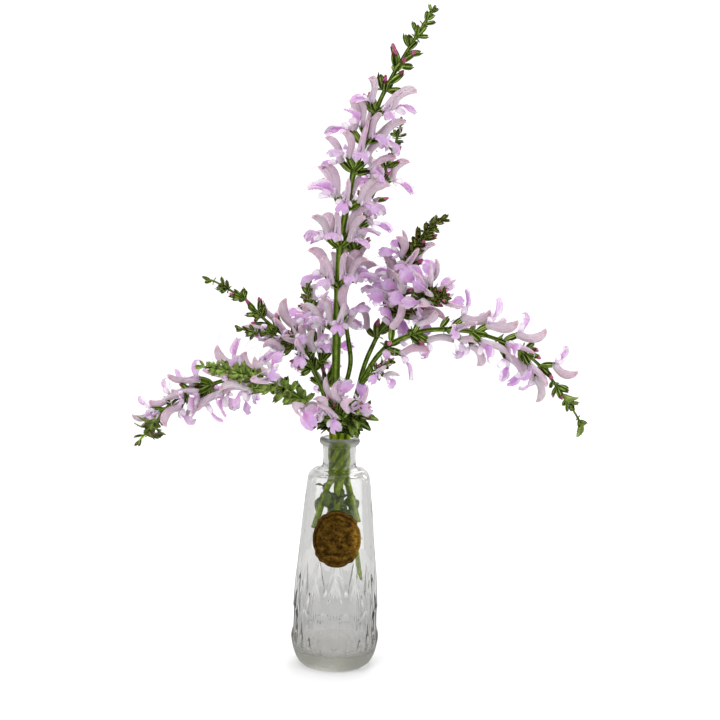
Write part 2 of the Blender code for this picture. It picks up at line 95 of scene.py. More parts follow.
# Seal: a round cast plaque that wraps round the front of the bottle
SEAL_WIDTH = 34.8
SEAL_LENGTH = 40.4
SEAL_HEIGHT = 95.8
SEAL_LOBE = 1.1

# Stems in the neck: one in the middle, six in a ring that twists as they cross
RING_RADIUS = 6.1
TWIST = math.radians(140.0)
MOUTH_LEVEL = 166.0
TWIST_END = 125.0
SPREAD_START = 136.0

SAMPLE = 2.0  # spacing along a stem at which its place and direction are worked out
CLEAR = 0.45  # least room between the growth of two stems
TAPER = 1.3  # above 1, a stem keeps its thickness further up

# Whorls and leaves
TIP_GAP = 3.0  # from the tip of a spike to its first whorl
WHORL_TURN = 45.0
LEAF_TILT = math.radians(58.0)
REACH = 45.0  # growth further off than this can't be met



class Foot(NamedTuple):
    """A stem inside the bottle: where it stands in the ring, and where its cut end is."""

    azimuth: float
    end_level: float
    end_radius: float


class Spike(NamedTuple):
    """One flowering spike, and the rule for what grows on it. Whorls are counted from the tip."""

    name: str
    stem: str
    route: tuple
    thickness: tuple
    whorls: int
    first_gap: float
    gap_growth: float
    flowers: int
    open_whorls: tuple
    open_share: float
    size: float
    turn: float


FEET = {
    "stem_tall": None,
    "stem_right_arching": Foot(-14.0, 99.0, 17.8),
    "stem_right_upright": Foot(47.0, 84.0, 17.5),
    "stem_back": Foot(110.0, 104.0, 16.5),
    "stem_left_upper": Foot(172.0, 58.0, 21.0),
    "stem_left_arching": Foot(232.0, 76.0, 20.0),
    "stem_mouth": Foot(286.0, 116.0, 14.0),
}
TALL_STEM_END = 82.0

SPIKES = (
    Spike("tall", "stem_tall",
          ((-3, 0, 189), (-4, -1, 211), (-4, -2, 232), (-4, -3, 260), (-3, -4, 298), (1, -4, 327),
           (6, -3, 354), (13, -2, 372), (20, 0, 394), (28, 2, 412), (35, 3, 425), (42, 4, 437),
           (52, 4, 454), (57, 4, 462)),
          (3.4, 0.9), 13, 8.0, 2.1, 6, (6, 12), 0.92, 1.0, 10.0),
    Spike("tall_side", "stem_tall",
          ((-3, 1, 183), (3, 7, 200), (6, 12, 216), (3, 16, 236), (0, 19, 256), (3, 22, 273), (6, 24, 290),
           (8, 26, 306), (14, 29, 323), (22, 32, 341), (29, 33, 357), (34, 34, 372), (38, 34, 388)),
          (1.9, 0.7), 9, 9.0, 1.7, 4, (3, 8), 0.75, 0.9, 30.0),
    Spike("right_long", "stem_right_arching",
          ((11, -7, 194), (17, -10, 209), (26, -14, 224), (38, -18, 234), (59, -22, 242), (85, -22, 242),
           (106, -20, 237), (122, -18, 230), (136, -16, 220), (147, -15, 208), (157, -14, 195),
           (164, -13, 185), (168, -13, 178)),
          (2.2, 0.7), 10, 15.0, 0.8, 4, (3, 9), 0.85, 0.95, 20.0),
    Spike("right_stub", "stem_right_arching",
          ((15, -9, 203), (21, -22, 211), (28, -32, 217), (34, -40, 222)),
          (1.6, 0.7), 3, 8.0, 1.0, 4, (1, 2), 0.5, 0.85, 0.0),
    Spike("right_up", "stem_right_upright",
          ((10, 12, 188), (16, 16, 213), (25, 18, 235), (34, 16, 256), (41, 12, 275), (46, 6, 292),
           (53, 0, 305), (61, -6, 314), (69, -11, 319)),
          (2.0, 0.8), 9, 6.5, 1.7, 6, (5, 8), 0.75, 0.95, 15.0),
    Spike("right_front", "stem_right_upright",
          ((25, 18, 235), (35, 8, 248), (45, -8, 257), (55, -25, 263), (63, -43, 266), (68, -60, 266)),
          (1.7, 0.8), 7, 6.0, 2.2, 6, (3, 6), 0.65, 0.95, 40.0),
    Spike("back", "stem_back",
          ((-7, 18, 183), (-12, 32, 200), (-18, 46, 219), (-23, 58, 238), (-27, 68, 256), (-30, 76, 270)),
          (1.9, 0.7), 7, 9.0, 2.2, 5, (2, 6), 0.6, 0.95, 5.0),
    Spike("left_up", "stem_left_upper",
          ((-9, 6, 181), (-15, 12, 198), (-24, 16, 215), (-38, 18, 229), (-52, 18, 240), (-62, 17, 249),
           (-68, 16, 256), (-81, 14, 264), (-92, 12, 270), (-98, 11, 271)),
          (1.9, 0.6), 7, 13.0, 1.2, 4, (4, 6), 0.9, 0.95, 45.0),
    Spike("left_small", "stem_left_upper",
          ((-15, 12, 198), (-26, 6, 219), (-38, 2, 229), (-51, -2, 235), (-62, -5, 236), (-73, -8, 239)),
          (1.5, 0.6), 5, 10.0, 2.0, 4, (3, 4), 0.7, 0.9, 0.0),
    Spike("left_long", "stem_left_arching",
          ((-13, -9, 180), (-29, -16, 189), (-47, -20, 198), (-63, -20, 203), (-80, -18, 203),
           (-96, -18, 197), (-109, -20, 192), (-120, -22, 183), (-128, -24, 174), (-134, -25, 165),
           (-138, -26, 160)),
          (2.2, 0.7), 7, 14.0, 1.0, 5, (2, 6), 0.9, 0.95, 25.0),
    Spike("left_front", "stem_left_arching",
          ((-13, -9, 180), (-25, -22, 191), (-36, -34, 199), (-51, -44, 205), (-60, -50, 209),
           (-70, -54, 213), (-79, -58, 215), (-88, -60, 216), (-94, -62, 217)),
          (1.8, 0.7), 8, 8.0, 1.2, 5, (3, 7), 0.35, 0.9, 30.0),
    Spike("mouth_front", "stem_mouth",
          ((8, -12, 176), (13, -18, 182), (18, -23, 187)),
          (1.7, 0.9), 2, 7.0, 1.0, 4, (0, 1), 0.1, 1.3, 0.0),
    Spike("mouth_bloom", "stem_mouth",
          ((5, -9, 171), (2, -14, 178), (-2, -18, 183), (-4, -21, 187)),
          (1.5, 0.9), 2, 7.0, 1.0, 4, (0, 1), 0.9, 1.5, 20.0),
)

# Leaves: spike, height on its stem, direction seen from above, length
LEAVES = (
    ("tall", 176.0, 60.0, 15.0), ("tall", 176.0, 200.0, 15.0), ("tall", 178.0, 330.0, 14.0),
    ("right_long", 177.0, 340.0, 15.0), ("right_long", 180.0, 230.0, 14.0),
    ("right_long", 200.0, 310.0, 14.0),
    ("right_up", 178.0, 40.0, 15.0), ("right_up", 182.0, 120.0, 14.0),
    ("back", 176.0, 100.0, 15.0), ("back", 180.0, 160.0, 14.0),
    ("left_up", 177.0, 170.0, 15.0), ("left_up", 182.0, 240.0, 14.0),
    ("left_long", 176.0, 215.0, 15.0), ("left_long", 179.0, 270.0, 14.0),
    ("mouth_front", 177.0, 290.0, 15.0), ("mouth_front", 180.0, 350.0, 16.0),
    ("mouth_front", 183.0, 250.0, 13.0),
    ("mouth_front", 172.0, 310.0, 12.0), ("mouth_front", 172.0, 230.0, 12.0), ("tall", 170.0, 270.0, 12.0),
    ("right_long", 171.0, 20.0, 12.0), ("right_up", 172.0, 80.0, 12.0), ("back", 171.0, 60.0, 12.0),
    ("left_up", 171.0, 140.0, 12.0), ("left_long", 171.0, 180.0, 12.0),
    ("mouth_front", 124.0, 195.0, 14.0), ("right_up", 116.0, 300.0, 15.0), ("right_up", 118.0, 240.0, 13.0),
    ("back", 114.0, 330.0, 14.0),
)


class Organ(NamedTuple):
    """Something that grows on a stem: its kind, its place and axes as a matrix, and its size."""

    stem: str
    kind: str
    matrix: Matrix
    size: float
    spike: str


# Balls, as (forward, up, radius), that enclose each kind of organ
BALLS = {
    "calyx": ((5.0, 0.0, 2.0), (8.5, 0.0, 2.8), (11.5, 0.0, 1.8)),
    "bud": ((5.0, 0.0, 2.0), (8.5, 0.0, 2.8), (12.0, 0.0, 2.4), (15.0, 0.3, 1.8)),
    "open": ((5.0, 0.0, 2.0), (9.0, 0.0, 2.9), (12.5, 0.3, 3.0), (17.1, 4.3, 3.0), (22.0, 6.4, 3.8),
             (27.4, 6.4, 3.9), (32.0, 4.2, 3.2), (35.0, 1.5, 2.0), (16.5, -2.6, 2.6), (20.6, -5.2, 4.5),
             (23.8, -9.6, 4.2)),
    "leaf": ((0.2, 0.0, 0.12), (0.45, 0.0, 0.2), (0.7, 0.0, 0.19), (0.92, 0.0, 0.1)),
}
OPEN_OVERLAP = 0.5  # how far open flowers of one stem may sink into each other's balls


def smoothstep(share):
    share = min(1.0, max(0.0, share))
    return share * share * (3 - 2 * share)


def lerp_table(table, height):
    """The radius at a height, read from a table of (radius, height)."""
    for (low_radius, low), (high_radius, high) in zip(table, table[1:]):
        if low <= height <= high:
            return low_radius + (high_radius - low_radius) * (height - low) / (high - low)
    return table[-1][0] if height > table[-1][1] else table[0][0]


def bottle_radius(height):
    return lerp_table(BOTTLE_PROFILE, height)


def foot_points(foot):
    """A stem's points from its cut end up to the mouth, twisting round the middle of the neck."""
    if foot is None:
        return [Vector((0.0, 0.0, z)) for z in (TALL_STEM_END, 110.0, 138.0, MOUTH_LEVEL)]
    points = []
    steps = 14
    for i in range(steps + 1):
        level = foot.end_level + (MOUTH_LEVEL - foot.end_level) * i / steps
        turned = TWIST * smoothstep((MOUTH_LEVEL - level) / (MOUTH_LEVEL - TWIST_END))
        spread = max(0.0, (SPREAD_START - level) / (SPREAD_START - foot.end_level))
        radius = RING_RADIUS + (foot.end_radius - RING_RADIUS) * spread
        angle = math.radians(foot.azimuth) - turned
        points.append(Vector((radius * math.cos(angle), radius * math.sin(angle), level)))
    return points


def smooth_curve(points, step=SAMPLE):
    """A Catmull-Rom curve through the points, as points a step apart."""
    ends = [points[0] * 2 - points[1], *points, points[-1] * 2 - points[-2]]
    fine = []
    for a, b, c, d in zip(ends, ends[1:], ends[2:], ends[3:]):
        pieces = max(2, math.ceil((c - b).length))
        for i in range(pieces):
            t = i / pieces
            fine.append(0.5 * (2 * b + (c - a) * t + (2 * a - 5 * b + 4 * c - d) * t * t
                               + (3 * b - a - 3 * c + d) * t ** 3))
    fine.append(points[-1].copy())
    length = sum((q - p).length for p, q in zip(fine, fine[1:]))
    count = max(2, round(length / step))
    spaced, travelled, target = [fine[0]], 0.0, length / count
    for p, q in zip(fine, fine[1:]):
        gap = (q - p).length
        while travelled + gap >= target - 1e-6 and len(spaced) < count:
            spaced.append(p.lerp(q, (target - travelled) / gap))
            target += length / count
        travelled += gap
    spaced.append(fine[-1])
    return spaced


class Line:
    """A stem's centre line, with a frame that doesn't twist, and its radius."""

    def __init__(self, spike, is_main):
        above = [Vector(p) for p in spike.route]
        below = foot_points(FEET[spike.stem]) if is_main else []
        self.spike = spike
        self.points = smooth_curve([*below, *above])
        last = len(self.points) - 1
        self.tangents = [(self.points[min(i + 1, last)] - self.points[max(i - 1, 0)]).normalized()
                         for i in range(last + 1)]
        self.normals = []
        side = Vector((0.0, -1.0, 0.0))
        for tangent in self.tangents:
            side = (side - tangent * side.dot(tangent)).normalized()
            self.normals.append(side)
        root, tip = spike.thickness
        mouth = sum(1 for p in self.points if p.z < MOUTH_LEVEL) if is_main else 0
        self.radii = [root + (tip - root) * max(0.0, (i - mouth) / (last - mouth)) ** TAPER
                      for i in range(last + 1)]

    def from_tip(self, distance):
        """The index of the point that far from the tip."""
        return max(0, len(self.points) - 1 - round(distance / SAMPLE))

    def at_height(self, height):
        return min(range(len(self.points)), key=lambda i: abs(self.points[i].z - height))

    def organ(self, index, kind, azimuth, tilt, size):
        """An organ at a point, leaning from the stem by tilt, with its upper side towards the tip."""
        tangent, normal = self.tangents[index], self.normals[index]
        out = normal * math.cos(azimuth) + tangent.cross(normal) * math.sin(azimuth)
        forward = tangent * math.cos(tilt) + out * math.sin(tilt)
        upward = tangent * math.sin(tilt) - out * math.cos(tilt)
        matrix = Matrix((forward, upward.cross(forward), upward)).transposed().to_4x4()
        matrix.translation = self.points[index]
        return Organ(self.spike.stem, kind, matrix, size, self.spike.name)


def balls_of(organ):
    return [(organ.matrix @ Vector((x * organ.size, 0.0, z * organ.size)), r * organ.size)
            for x, z, r in BALLS[organ.kind]]


def meets_bottle(centre, radius):
    """True if a ball meets the glass or the surface that the bottle stands on."""
    away = math.hypot(centre.x, centre.y)
    if centre.z - radius > BOTTLE_HEIGHT + 1.0:
        return False
    if away > BOTTLE_PROFILE[3][0] + radius + 1.0:
        return centre.z < radius
    inside = bottle_radius(centre.z) - WALL - 1.0
    return centre.z + radius > SHOULDER_INSIDE or away + radius > inside


class Space:
    """The balls of what has grown, kept by stem, so that one stem's growth stays clear of another's."""

    def __init__(self, lines):
        self.balls = {stem: [] for stem in FEET}
        self.flowers = {stem: [] for stem in FEET}
        for line in lines:
            self.balls[line.spike.stem] += list(zip(line.points[::2], line.radii[::2]))

    def is_free(self, organ):
        balls = balls_of(organ)
        if any(meets_bottle(*ball) for ball in balls):
            return False
        others = [ball for stem in FEET if stem != organ.stem for ball in self.balls[stem]]
        near = [(c, r) for c, r in others if (c - balls[-1][0]).length < REACH]
        for centre, radius in balls:
            for other, other_radius in near:
                if (centre - other).length < radius + other_radius + CLEAR:
                    return False
        if organ.kind != "open":
            return True
        for centre, radius in balls[3:]:
            for other, other_radius in self.flowers[organ.stem]:
                if (centre - other).length < (radius + other_radius) * OPEN_OVERLAP:
                    return False
        return True

    def add(self, organ):
        balls = balls_of(organ)
        self.balls[organ.stem] += balls
        if organ.kind == "open":
            self.flowers[organ.stem] += balls[3:]


def settle(space, line, index, kinds, azimuth, tilt, size):
    """The first kind of organ that has room at this place, turned a little if it has to be."""
    for kind in kinds:
        for turn in (0, 15, -15, 30, -30):
            for lean in (0, -12, 12):
                organ = line.organ(index, kind, azimuth + math.radians(turn),
                                   tilt + math.radians(lean), size)
                if space.is_free(organ):
                    space.add(organ)
                    return organ
    return None


def whorl_organs(space, line, seed):
    """Every calyx, bud and open flower of a spike, whorl by whorl from the tip."""
    spike, draw, organs = line.spike, random.Random(seed), []
    for whorl in range(spike.whorls):
        distance = TIP_GAP + spike.first_gap * whorl + spike.gap_growth * whorl * (whorl - 1) / 2
        index = line.from_tip(distance)
        size = spike.size * min(1.0, 0.5 + 0.12 * whorl)
        count = spike.flowers if whorl > 1 else min(4, spike.flowers)
        lean = math.radians(min(54.0, 30.0 + 5.0 * whorl))
        first, last = spike.open_whorls
        for i in range(count):
            azimuth = math.radians(spike.turn + WHORL_TURN * whorl + 360.0 * i / count
                                   + draw.uniform(-9, 9))
            tilt = lean + math.radians(draw.uniform(-13, 11))
            chance = draw.random()
            if first <= whorl <= last and chance < spike.open_share * (0.5 if whorl == first else 1.0):
                kinds = ("open", "bud", "calyx")
            elif first - 2 <= whorl <= last and chance > 0.55:
                kinds = ("bud", "calyx")
            else:
                kinds = ("calyx",)
            scale = size * draw.uniform(0.9, 1.08)
            organ = settle(space, line, index, kinds, azimuth, tilt, scale)
            if organ:
                organs.append(organ)
    return organs


def leaf_organs(space, lines):
    """The leaves near the mouth and inside the bottle."""
    organs = []
    for name, height, compass, length in LEAVES:
        line = lines[name]
        index = line.at_height(height)
        tangent, normal = line.tangents[index], line.normals[index]
        wanted = Vector((math.cos(math.radians(compass)), math.sin(math.radians(compass)), 0.0))
        azimuth = math.atan2(wanted.dot(tangent.cross(normal)), wanted.dot(normal))
        organ = settle(space, line, index, ("leaf",), azimuth, LEAF_TILT, length)
        if organ:
            organs.append(organ)
    return organs


def grow():
    """Every stem's line by spike name, and every organ, in the order that they take up room."""
    main = {}
    for spike in SPIKES:
        main.setdefault(spike.stem, spike.name)
    lines = {s.name: Line(s, main[s.stem] == s.name) for s in SPIKES}
    space = Space(lines.values())
    organs = leaf_organs(space, lines)
    for seed, spike in enumerate(SPIKES):
        organs += whorl_organs(space, lines[spike.name], seed)
    return lines, organs


def mix(first, second, share):
    share = min(1.0, max(0.0, share))
    return tuple(a + (b - a) * share for a, b in zip(first, second))


def bump(value, centre, width):
    """1 at the centre, falling to 0 a few widths away."""
    return math.exp(-((value - centre) / width) ** 2)


def read(table, share):
    """A value at a share, from a table of (share, value), eased between them."""
    for (low, a), (high, b) in zip(table, table[1:]):
        if share <= high:
            return a + (b - a) * smoothstep((share - low) / (high - low))
    return table[-1][1]


def follow(table, share):
    """A point and direction in the plane of a flower, from a table of (x, z) evenly spaced."""
    place = min(0.9999, max(0.0, share)) * (len(table) - 1)
    i = int(place)
    t = place - i
    a = table[max(0, i - 1)]
    b, c = table[i], table[i + 1]
    d = table[min(len(table) - 1, i + 2)]
    point, slope = [], []
    for p, q, r, s in zip(a, b, c, d):
        point.append(0.5 * (2 * q + (r - p) * t + (2 * p - 5 * q + 4 * r - s) * t * t
                            + (3 * q - p - 3 * r + s) * t ** 3))
        slope.append(0.5 * ((r - p) + 2 * (2 * p - 5 * q + 4 * r - s) * t
                            + 3 * (3 * q - p - 3 * r + s) * t * t))
    return point, math.atan2(slope[1], slope[0])


class Growth:
    """A mesh in the making: points in metres, faces, and a colour and a flat place for each point."""

    def __init__(self):
        self.points = []
        self.colours = []
        self.places = []
        self.faces = []

    def add_rows(self, rows, placed):
        """Adds rows of (point, colour, flat place), and returns the points' numbers row by row."""
        numbers = []
        for row in rows:
            first = len(self.points)
            numbers.append(list(range(first, first + len(row))))
            for point, colour, place in row:
                self.points.append(placed @ Vector(point))
                self.colours.append(colour)
                self.places.append(place)
        return numbers

    def tube(self, rings, placed):
        """A closed tube through rings of points. A ring of one point is a tip."""
        numbers = self.add_rows(rings, placed)
        for low, high in zip(numbers, numbers[1:]):
            for i in range(max(len(low), len(high))):
                corners = (low[i % len(low)], low[(i + 1) % len(low)],
                           high[(i + 1) % len(high)], high[i % len(high)])
                self.faces.append(tuple(dict.fromkeys(corners)))
        for ring, turn in ((numbers[0], -1), (numbers[-1], 1)):
            if len(ring) > 2:
                self.faces.append(tuple(ring[::turn]))

    def shell(self, front, back, placed):
        """A thin closed sheet between two grids of points."""
        near, far = self.add_rows(front, placed), self.add_rows(back, placed)
        for rows, turn in ((near, 1), (far, -1)):
            for low, high in zip(rows, rows[1:]):
                for i in range(len(low) - 1):
                    self.faces.append((low[i], low[i + 1], high[i + 1], high[i])[::turn])
        borders = []
        for rows in (near, far):
            borders.append([*rows[0], *(row[-1] for row in rows[1:]), *rows[-1][-2::-1],
                            *(row[0] for row in rows[-2:0:-1])])
        outer, inner = borders
        for i in range(len(outer)):
            after = (i + 1) % len(outer)
            self.faces.append((outer[after], outer[i], inner[i], inner[after]))

    def make(self, name, material):
        mesh = bpy.data.meshes.new(name)
        mesh.from_pydata(self.points, [], self.faces)
        colours = mesh.color_attributes.new("tint", "FLOAT_COLOR", "POINT")
        colours.data.foreach_set("color", [c for colour in self.colours for c in (*colour, 1.0)])
        flat = mesh.uv_layers.new(name="flat")
        flat.data.foreach_set("uv", [c for loop in mesh.loops for c in self.places[loop.vertex_index]])
        bm = bmesh.new()
        bm.from_mesh(mesh)
        bmesh.ops.recalc_face_normals(bm, faces=bm.faces)
        bm.to_mesh(mesh)
        bm.free()
        mesh.shade_smooth()
        obj = bpy.data.objects.new(name, mesh)
        mesh.materials.append(material)
        bpy.context.scene.collection.objects.link(obj)
        return obj


def round_ring(centre, across, up, radius, colour, v, count=8, depth=1.0):
    """A ring of points round a centre, in the plane of two directions."""
    ring = []
    for i in range(count):
        angle = math.tau * i / count
        point = centre + across * (radius * math.cos(angle)) + up * (radius * depth * math.sin(angle))
        ring.append((point, colour, (i / count, v)))
    return ring


def thread(growth, points, radii, colours, placed, count=5):
    """A thin tapering thread through points."""
    rings = []
    across = Vector((0.0, 1.0, 0.0))
    last = len(points) - 1
    for i, (point, radius, colour) in enumerate(zip(points, radii, colours)):
        ahead = (points[min(i + 1, last)] - points[max(i - 1, 0)]).normalized()
        across = (across - ahead * across.dot(ahead)).normalized()
        rings.append(round_ring(point, across, ahead.cross(across), radius, colour, i / last, count))
    growth.tube(rings, placed)


CALYX_PROFILE = ((-1.0, 0.5), (0.6, 0.5), (1.6, 0.6), (2.4, 1.1), (3.8, 1.7), (5.8, 2.1), (8.0, 2.25),
                 (9.8, 2.15), (11.0, 1.95))
CALYX_POINTS = 18  # nine ribs, and the valleys between them
MOUTH_TEETH = ((90.0, 24.0, 1.9), (48.0, 18.0, 1.4), (132.0, 18.0, 1.4), (-56.0, 30.0, 3.2),
               (-124.0, 30.0, 3.2))  # the five teeth: where they stand, their width and length


def tooth_length(angle):
    """How far the mouth of a calyx reaches out at an angle, in degrees."""
    reach = 0.0
    for middle, width, length in MOUTH_TEETH:
        off = abs((angle - middle + 180.0) % 360.0 - 180.0)
        reach = max(reach, length * max(0.0, 1.0 - off / width))
    return reach


def calyx_shades(draw, age):
    """The three greens of one calyx: its ribs, its valleys and the tips of its teeth."""
    fresh = max(0.0, -age)
    light = mix(LEAF_LIGHT, LEAF, draw.uniform(0.0, 0.6))
    valley = mix(mix(LEAF, LEAF_DARK, draw.uniform(0.0, 1.0)), LEAF_LIGHT, fresh * draw.uniform(0.2, 0.5))
    rib = mix(light, BROWN, age * draw.uniform(0.2, 0.7))
    valley = mix(valley, BROWN, age * draw.uniform(0.3, 0.9))
    tip = mix(valley, mix(BROWN, CRIMSON, 0.35), draw.uniform(0.0, 0.6))
    return rib, valley, tip


def add_calyx(growth, draw, placed, gape, age):
    """One ribbed, two-lipped calyx on its short stalk. gape is how wide its mouth stands open."""
    rib, valley, tip = calyx_shades(draw, age)
    wide = draw.uniform(0.92, 1.08)
    rings = []
    for x, radius in CALYX_PROFILE:
        ring = []
        belly = smoothstep((x - 2.0) / 2.0)
        for i in range(CALYX_POINTS):
            angle = math.tau * i / CALYX_POINTS
            ridge = 1.0 + 0.065 * belly * (1 if i % 2 else -1)
            r = radius * ridge * wide
            shade = rib if i % 4 == 1 else valley
            shade = mix(STEM_LIGHT, shade, smoothstep((x - 0.5) / 3.0))
            shade = mix(shade, tip, smoothstep((x - 9.0) / 3.0) * 0.8)
            point = (x, r * math.cos(angle), r * math.sin(angle) * (1.08 if angle > math.pi else 1.0))
            ring.append((point, shade, (i / CALYX_POINTS, x / 13.0)))
        rings.append(ring)
    lip = []
    inside = []
    deep = []
    for i in range(CALYX_POINTS):
        angle = math.tau * i / CALYX_POINTS
        reach = tooth_length(math.degrees(angle)) * draw.uniform(0.9, 1.1)
        r = (1.95 + 0.6 * gape) * wide - (1.0 - gape) * (0.7 + 0.45 * reach)
        r = max(0.18, r)
        lip.append(((11.4 + reach, r * math.cos(angle), r * math.sin(angle)), tip, (i / CALYX_POINTS, 1.0)))
        r = max(0.1, r - 0.3)
        inside.append(((11.3 + reach * 0.9, r * math.cos(angle), r * math.sin(angle)), valley,
                       (i / CALYX_POINTS, 0.95)))
        # painted shade: this ring deep in the calyx, and the floor of its hollow, are painted the darkest
        # green, as shade inside the cup
        r = 1.5
        deep.append(((8.0, r * math.cos(angle), r * math.sin(angle)), LEAF_DARK, (i / CALYX_POINTS, 0.6)))
    growth.tube([*rings, lip, inside, deep, [((6.5, 0, 0), LEAF_DARK, (0.5, 0.5))]], placed)


BUD_PROFILE = ((9.4, 1.4), (11.0, 1.55), (12.4, 1.6), (13.7, 1.4), (14.7, 0.95), (15.3, 0.4))


def add_bud(growth, draw, placed):
    """The closed corolla of a bud: a knob that leans upward out of the calyx."""
    shade = mix(mix(BLUSH, MAGENTA, draw.uniform(0.2, 1.0)), CRIMSON, draw.uniform(-0.2, 1.0))
    grow_out = draw.uniform(-1.6, 1.2)
    rings = []
    for x, radius in BUD_PROFILE:
        share = (x - 9.4) / 6.0
        centre = Vector((x + grow_out * share, 0.0, 0.25 + 0.9 * share * share))
        colour = mix(mix(shade, BLUSH, 0.4), shade, share)
        rings.append(round_ring(centre, Vector((0, 1, 0)), Vector((0, 0, 1)), radius * (1 - 0.12 * share),
                                colour, share, 10, 1.15))
    end = Vector((15.5 + grow_out, 0.0, 1.2))
    growth.tube([*rings, [(end, mix(shade, CRIMSON, 0.5), (0.5, 1.0))]], placed)


HOOD_START = 54.0
HOOD_TURN = -108.0
HOOD_LENGTH = 21.5
HOOD_ROWS = 15
HOOD_HALF = 5  # cells from the ridge to each lower edge
TUBE_ROWS = ((8.8, -0.1, 3.0, 1.7), (10.6, 0.0, 6.0, 2.1), (12.3, 0.2, 16.0, 2.65))  # x, z, tilt, radius
HOOD_DEPTH = ((0.0, 2.9), (0.2, 2.9), (0.42, 3.3), (0.60, 3.5), (0.78, 2.9), (0.91, 1.8), (1.0, 0.5))
HOOD_WIDTH = ((0.0, 2.7), (0.2, 2.3), (0.6, 1.8), (0.85, 1.25), (1.0, 0.4))
PETAL_THICKNESS = 0.28


class Tones(NamedTuple):
    """The colours of one corolla."""

    hood: tuple
    ridge: tuple
    lip: tuple
    throat: tuple


def petal_tones(draw):
    """One corolla's colours, some pinker and some more violet."""
    warm = draw.random()
    pale = draw.random()
    hood = mix(mix(PINK, BLUSH, 0.4 * warm * warm), CREAM, 0.6 * pale)
    ridge = mix(hood, BLUSH, draw.uniform(0.0, 0.5))
    lip = mix(mix(LILAC, PINK, draw.uniform(0.0, 0.6)), VIOLET, draw.uniform(0.0, 0.3))
    throat = mix(VIOLET, BLUSH, draw.uniform(0.0, 0.6))
    return Tones(hood, ridge, lip, throat)


def hood_places(start, turn, length):
    """The hood's middle line from the tube's mouth to the tip, as (x, z, direction)."""
    x, z, places = 13.9, 0.9, []
    for i in range(HOOD_ROWS + 1):
        angle = math.radians(start + turn * (i / HOOD_ROWS) ** 1.35)
        places.append((x, z, angle))
        x += length / HOOD_ROWS * math.cos(angle)
        z += length / HOOD_ROWS * math.sin(angle)
    return places


def add_hood(growth, draw, placed, tones, places):
    """The tube and the sickle-shaped upper lip: one thin sheet, closed below only at the tube."""
    deep = draw.uniform(0.92, 1.06)
    rows = []
    for x, z, tilt, radius in TUBE_ROWS:
        rows.append((x, z, math.radians(tilt), radius, radius, 180.0, -0.1))
    for i, (x, z, angle) in enumerate(places):
        share = i / HOOD_ROWS
        shut = 177.0 - 14.0 * bump(share, 0.06, 0.08) - 26.0 * smoothstep((share - 0.72) / 0.28)
        rows.append((x, z, angle, read(HOOD_DEPTH, share) * deep, read(HOOD_WIDTH, share), shut, share))
    front, back = [], []
    for x, z, angle, depth, half, shut, share in rows:
        outer, inner = [], []
        for k in range(-HOOD_HALF, HOOD_HALF + 1):
            around = math.radians(shut * k / HOOD_HALF)
            ridge = abs(k) / HOOD_HALF
            colour = mix(tones.hood, tones.ridge, bump(ridge, 0.0, 0.3) * (0.3 + share))
            colour = mix(colour, CREAM, 0.55 * (1.0 - smoothstep((share + 0.1) / 0.4)))
            colour = mix(colour, mix(tones.ridge, BLUSH, 0.5), 0.55 * smoothstep((share - 0.72) / 0.28))
            colour = mix(colour, LILAC, 0.5 * bump(share, 0.1, 0.14) * smoothstep((ridge - 0.5) / 0.4))
            # painted shadow: the anthers inside the hood, seen through it near its tip
            colour = mix(colour, PAINTED_ANTHER_SHADOW, 0.8 * bump(share, 0.85, 0.04) * bump(ridge, 0.45, 0.16))
            ruffle = 0.12 * math.sin(share * 23.0 + k) * ridge ** 3
            place = ((k / HOOD_HALF + 1) / 2, share)
            for row, thick in ((outer, 0.0), (inner, PETAL_THICKNESS)):
                high = (depth - thick) * math.cos(around)
                sideways = math.sin(around) * abs(math.sin(around)) ** 0.35
                wide = max(0.1, half - thick) * sideways * (1 + ruffle)
                row.append(((x - math.sin(angle) * high, wide, z + math.cos(angle) * high), colour, place))
        front.append(outer)
        back.append(inner)
    growth.shell(front, back, placed)


LIP_PATH = ((11.8, -1.5), (14.6, -2.5), (17.3, -3.6), (19.8, -4.9), (22.0, -6.6), (23.8, -8.7), (25.0, -11.1),
            (25.6, -14.2))
LIP_WIDTH = ((0.0, 2.0), (0.16, 1.9), (0.28, 1.1), (0.35, 1.3), (0.46, 4.3), (0.64, 5.7), (0.84, 5.3),
             (1.0, 3.0))
LIP_ROWS = 13
LIP_HALF = 6


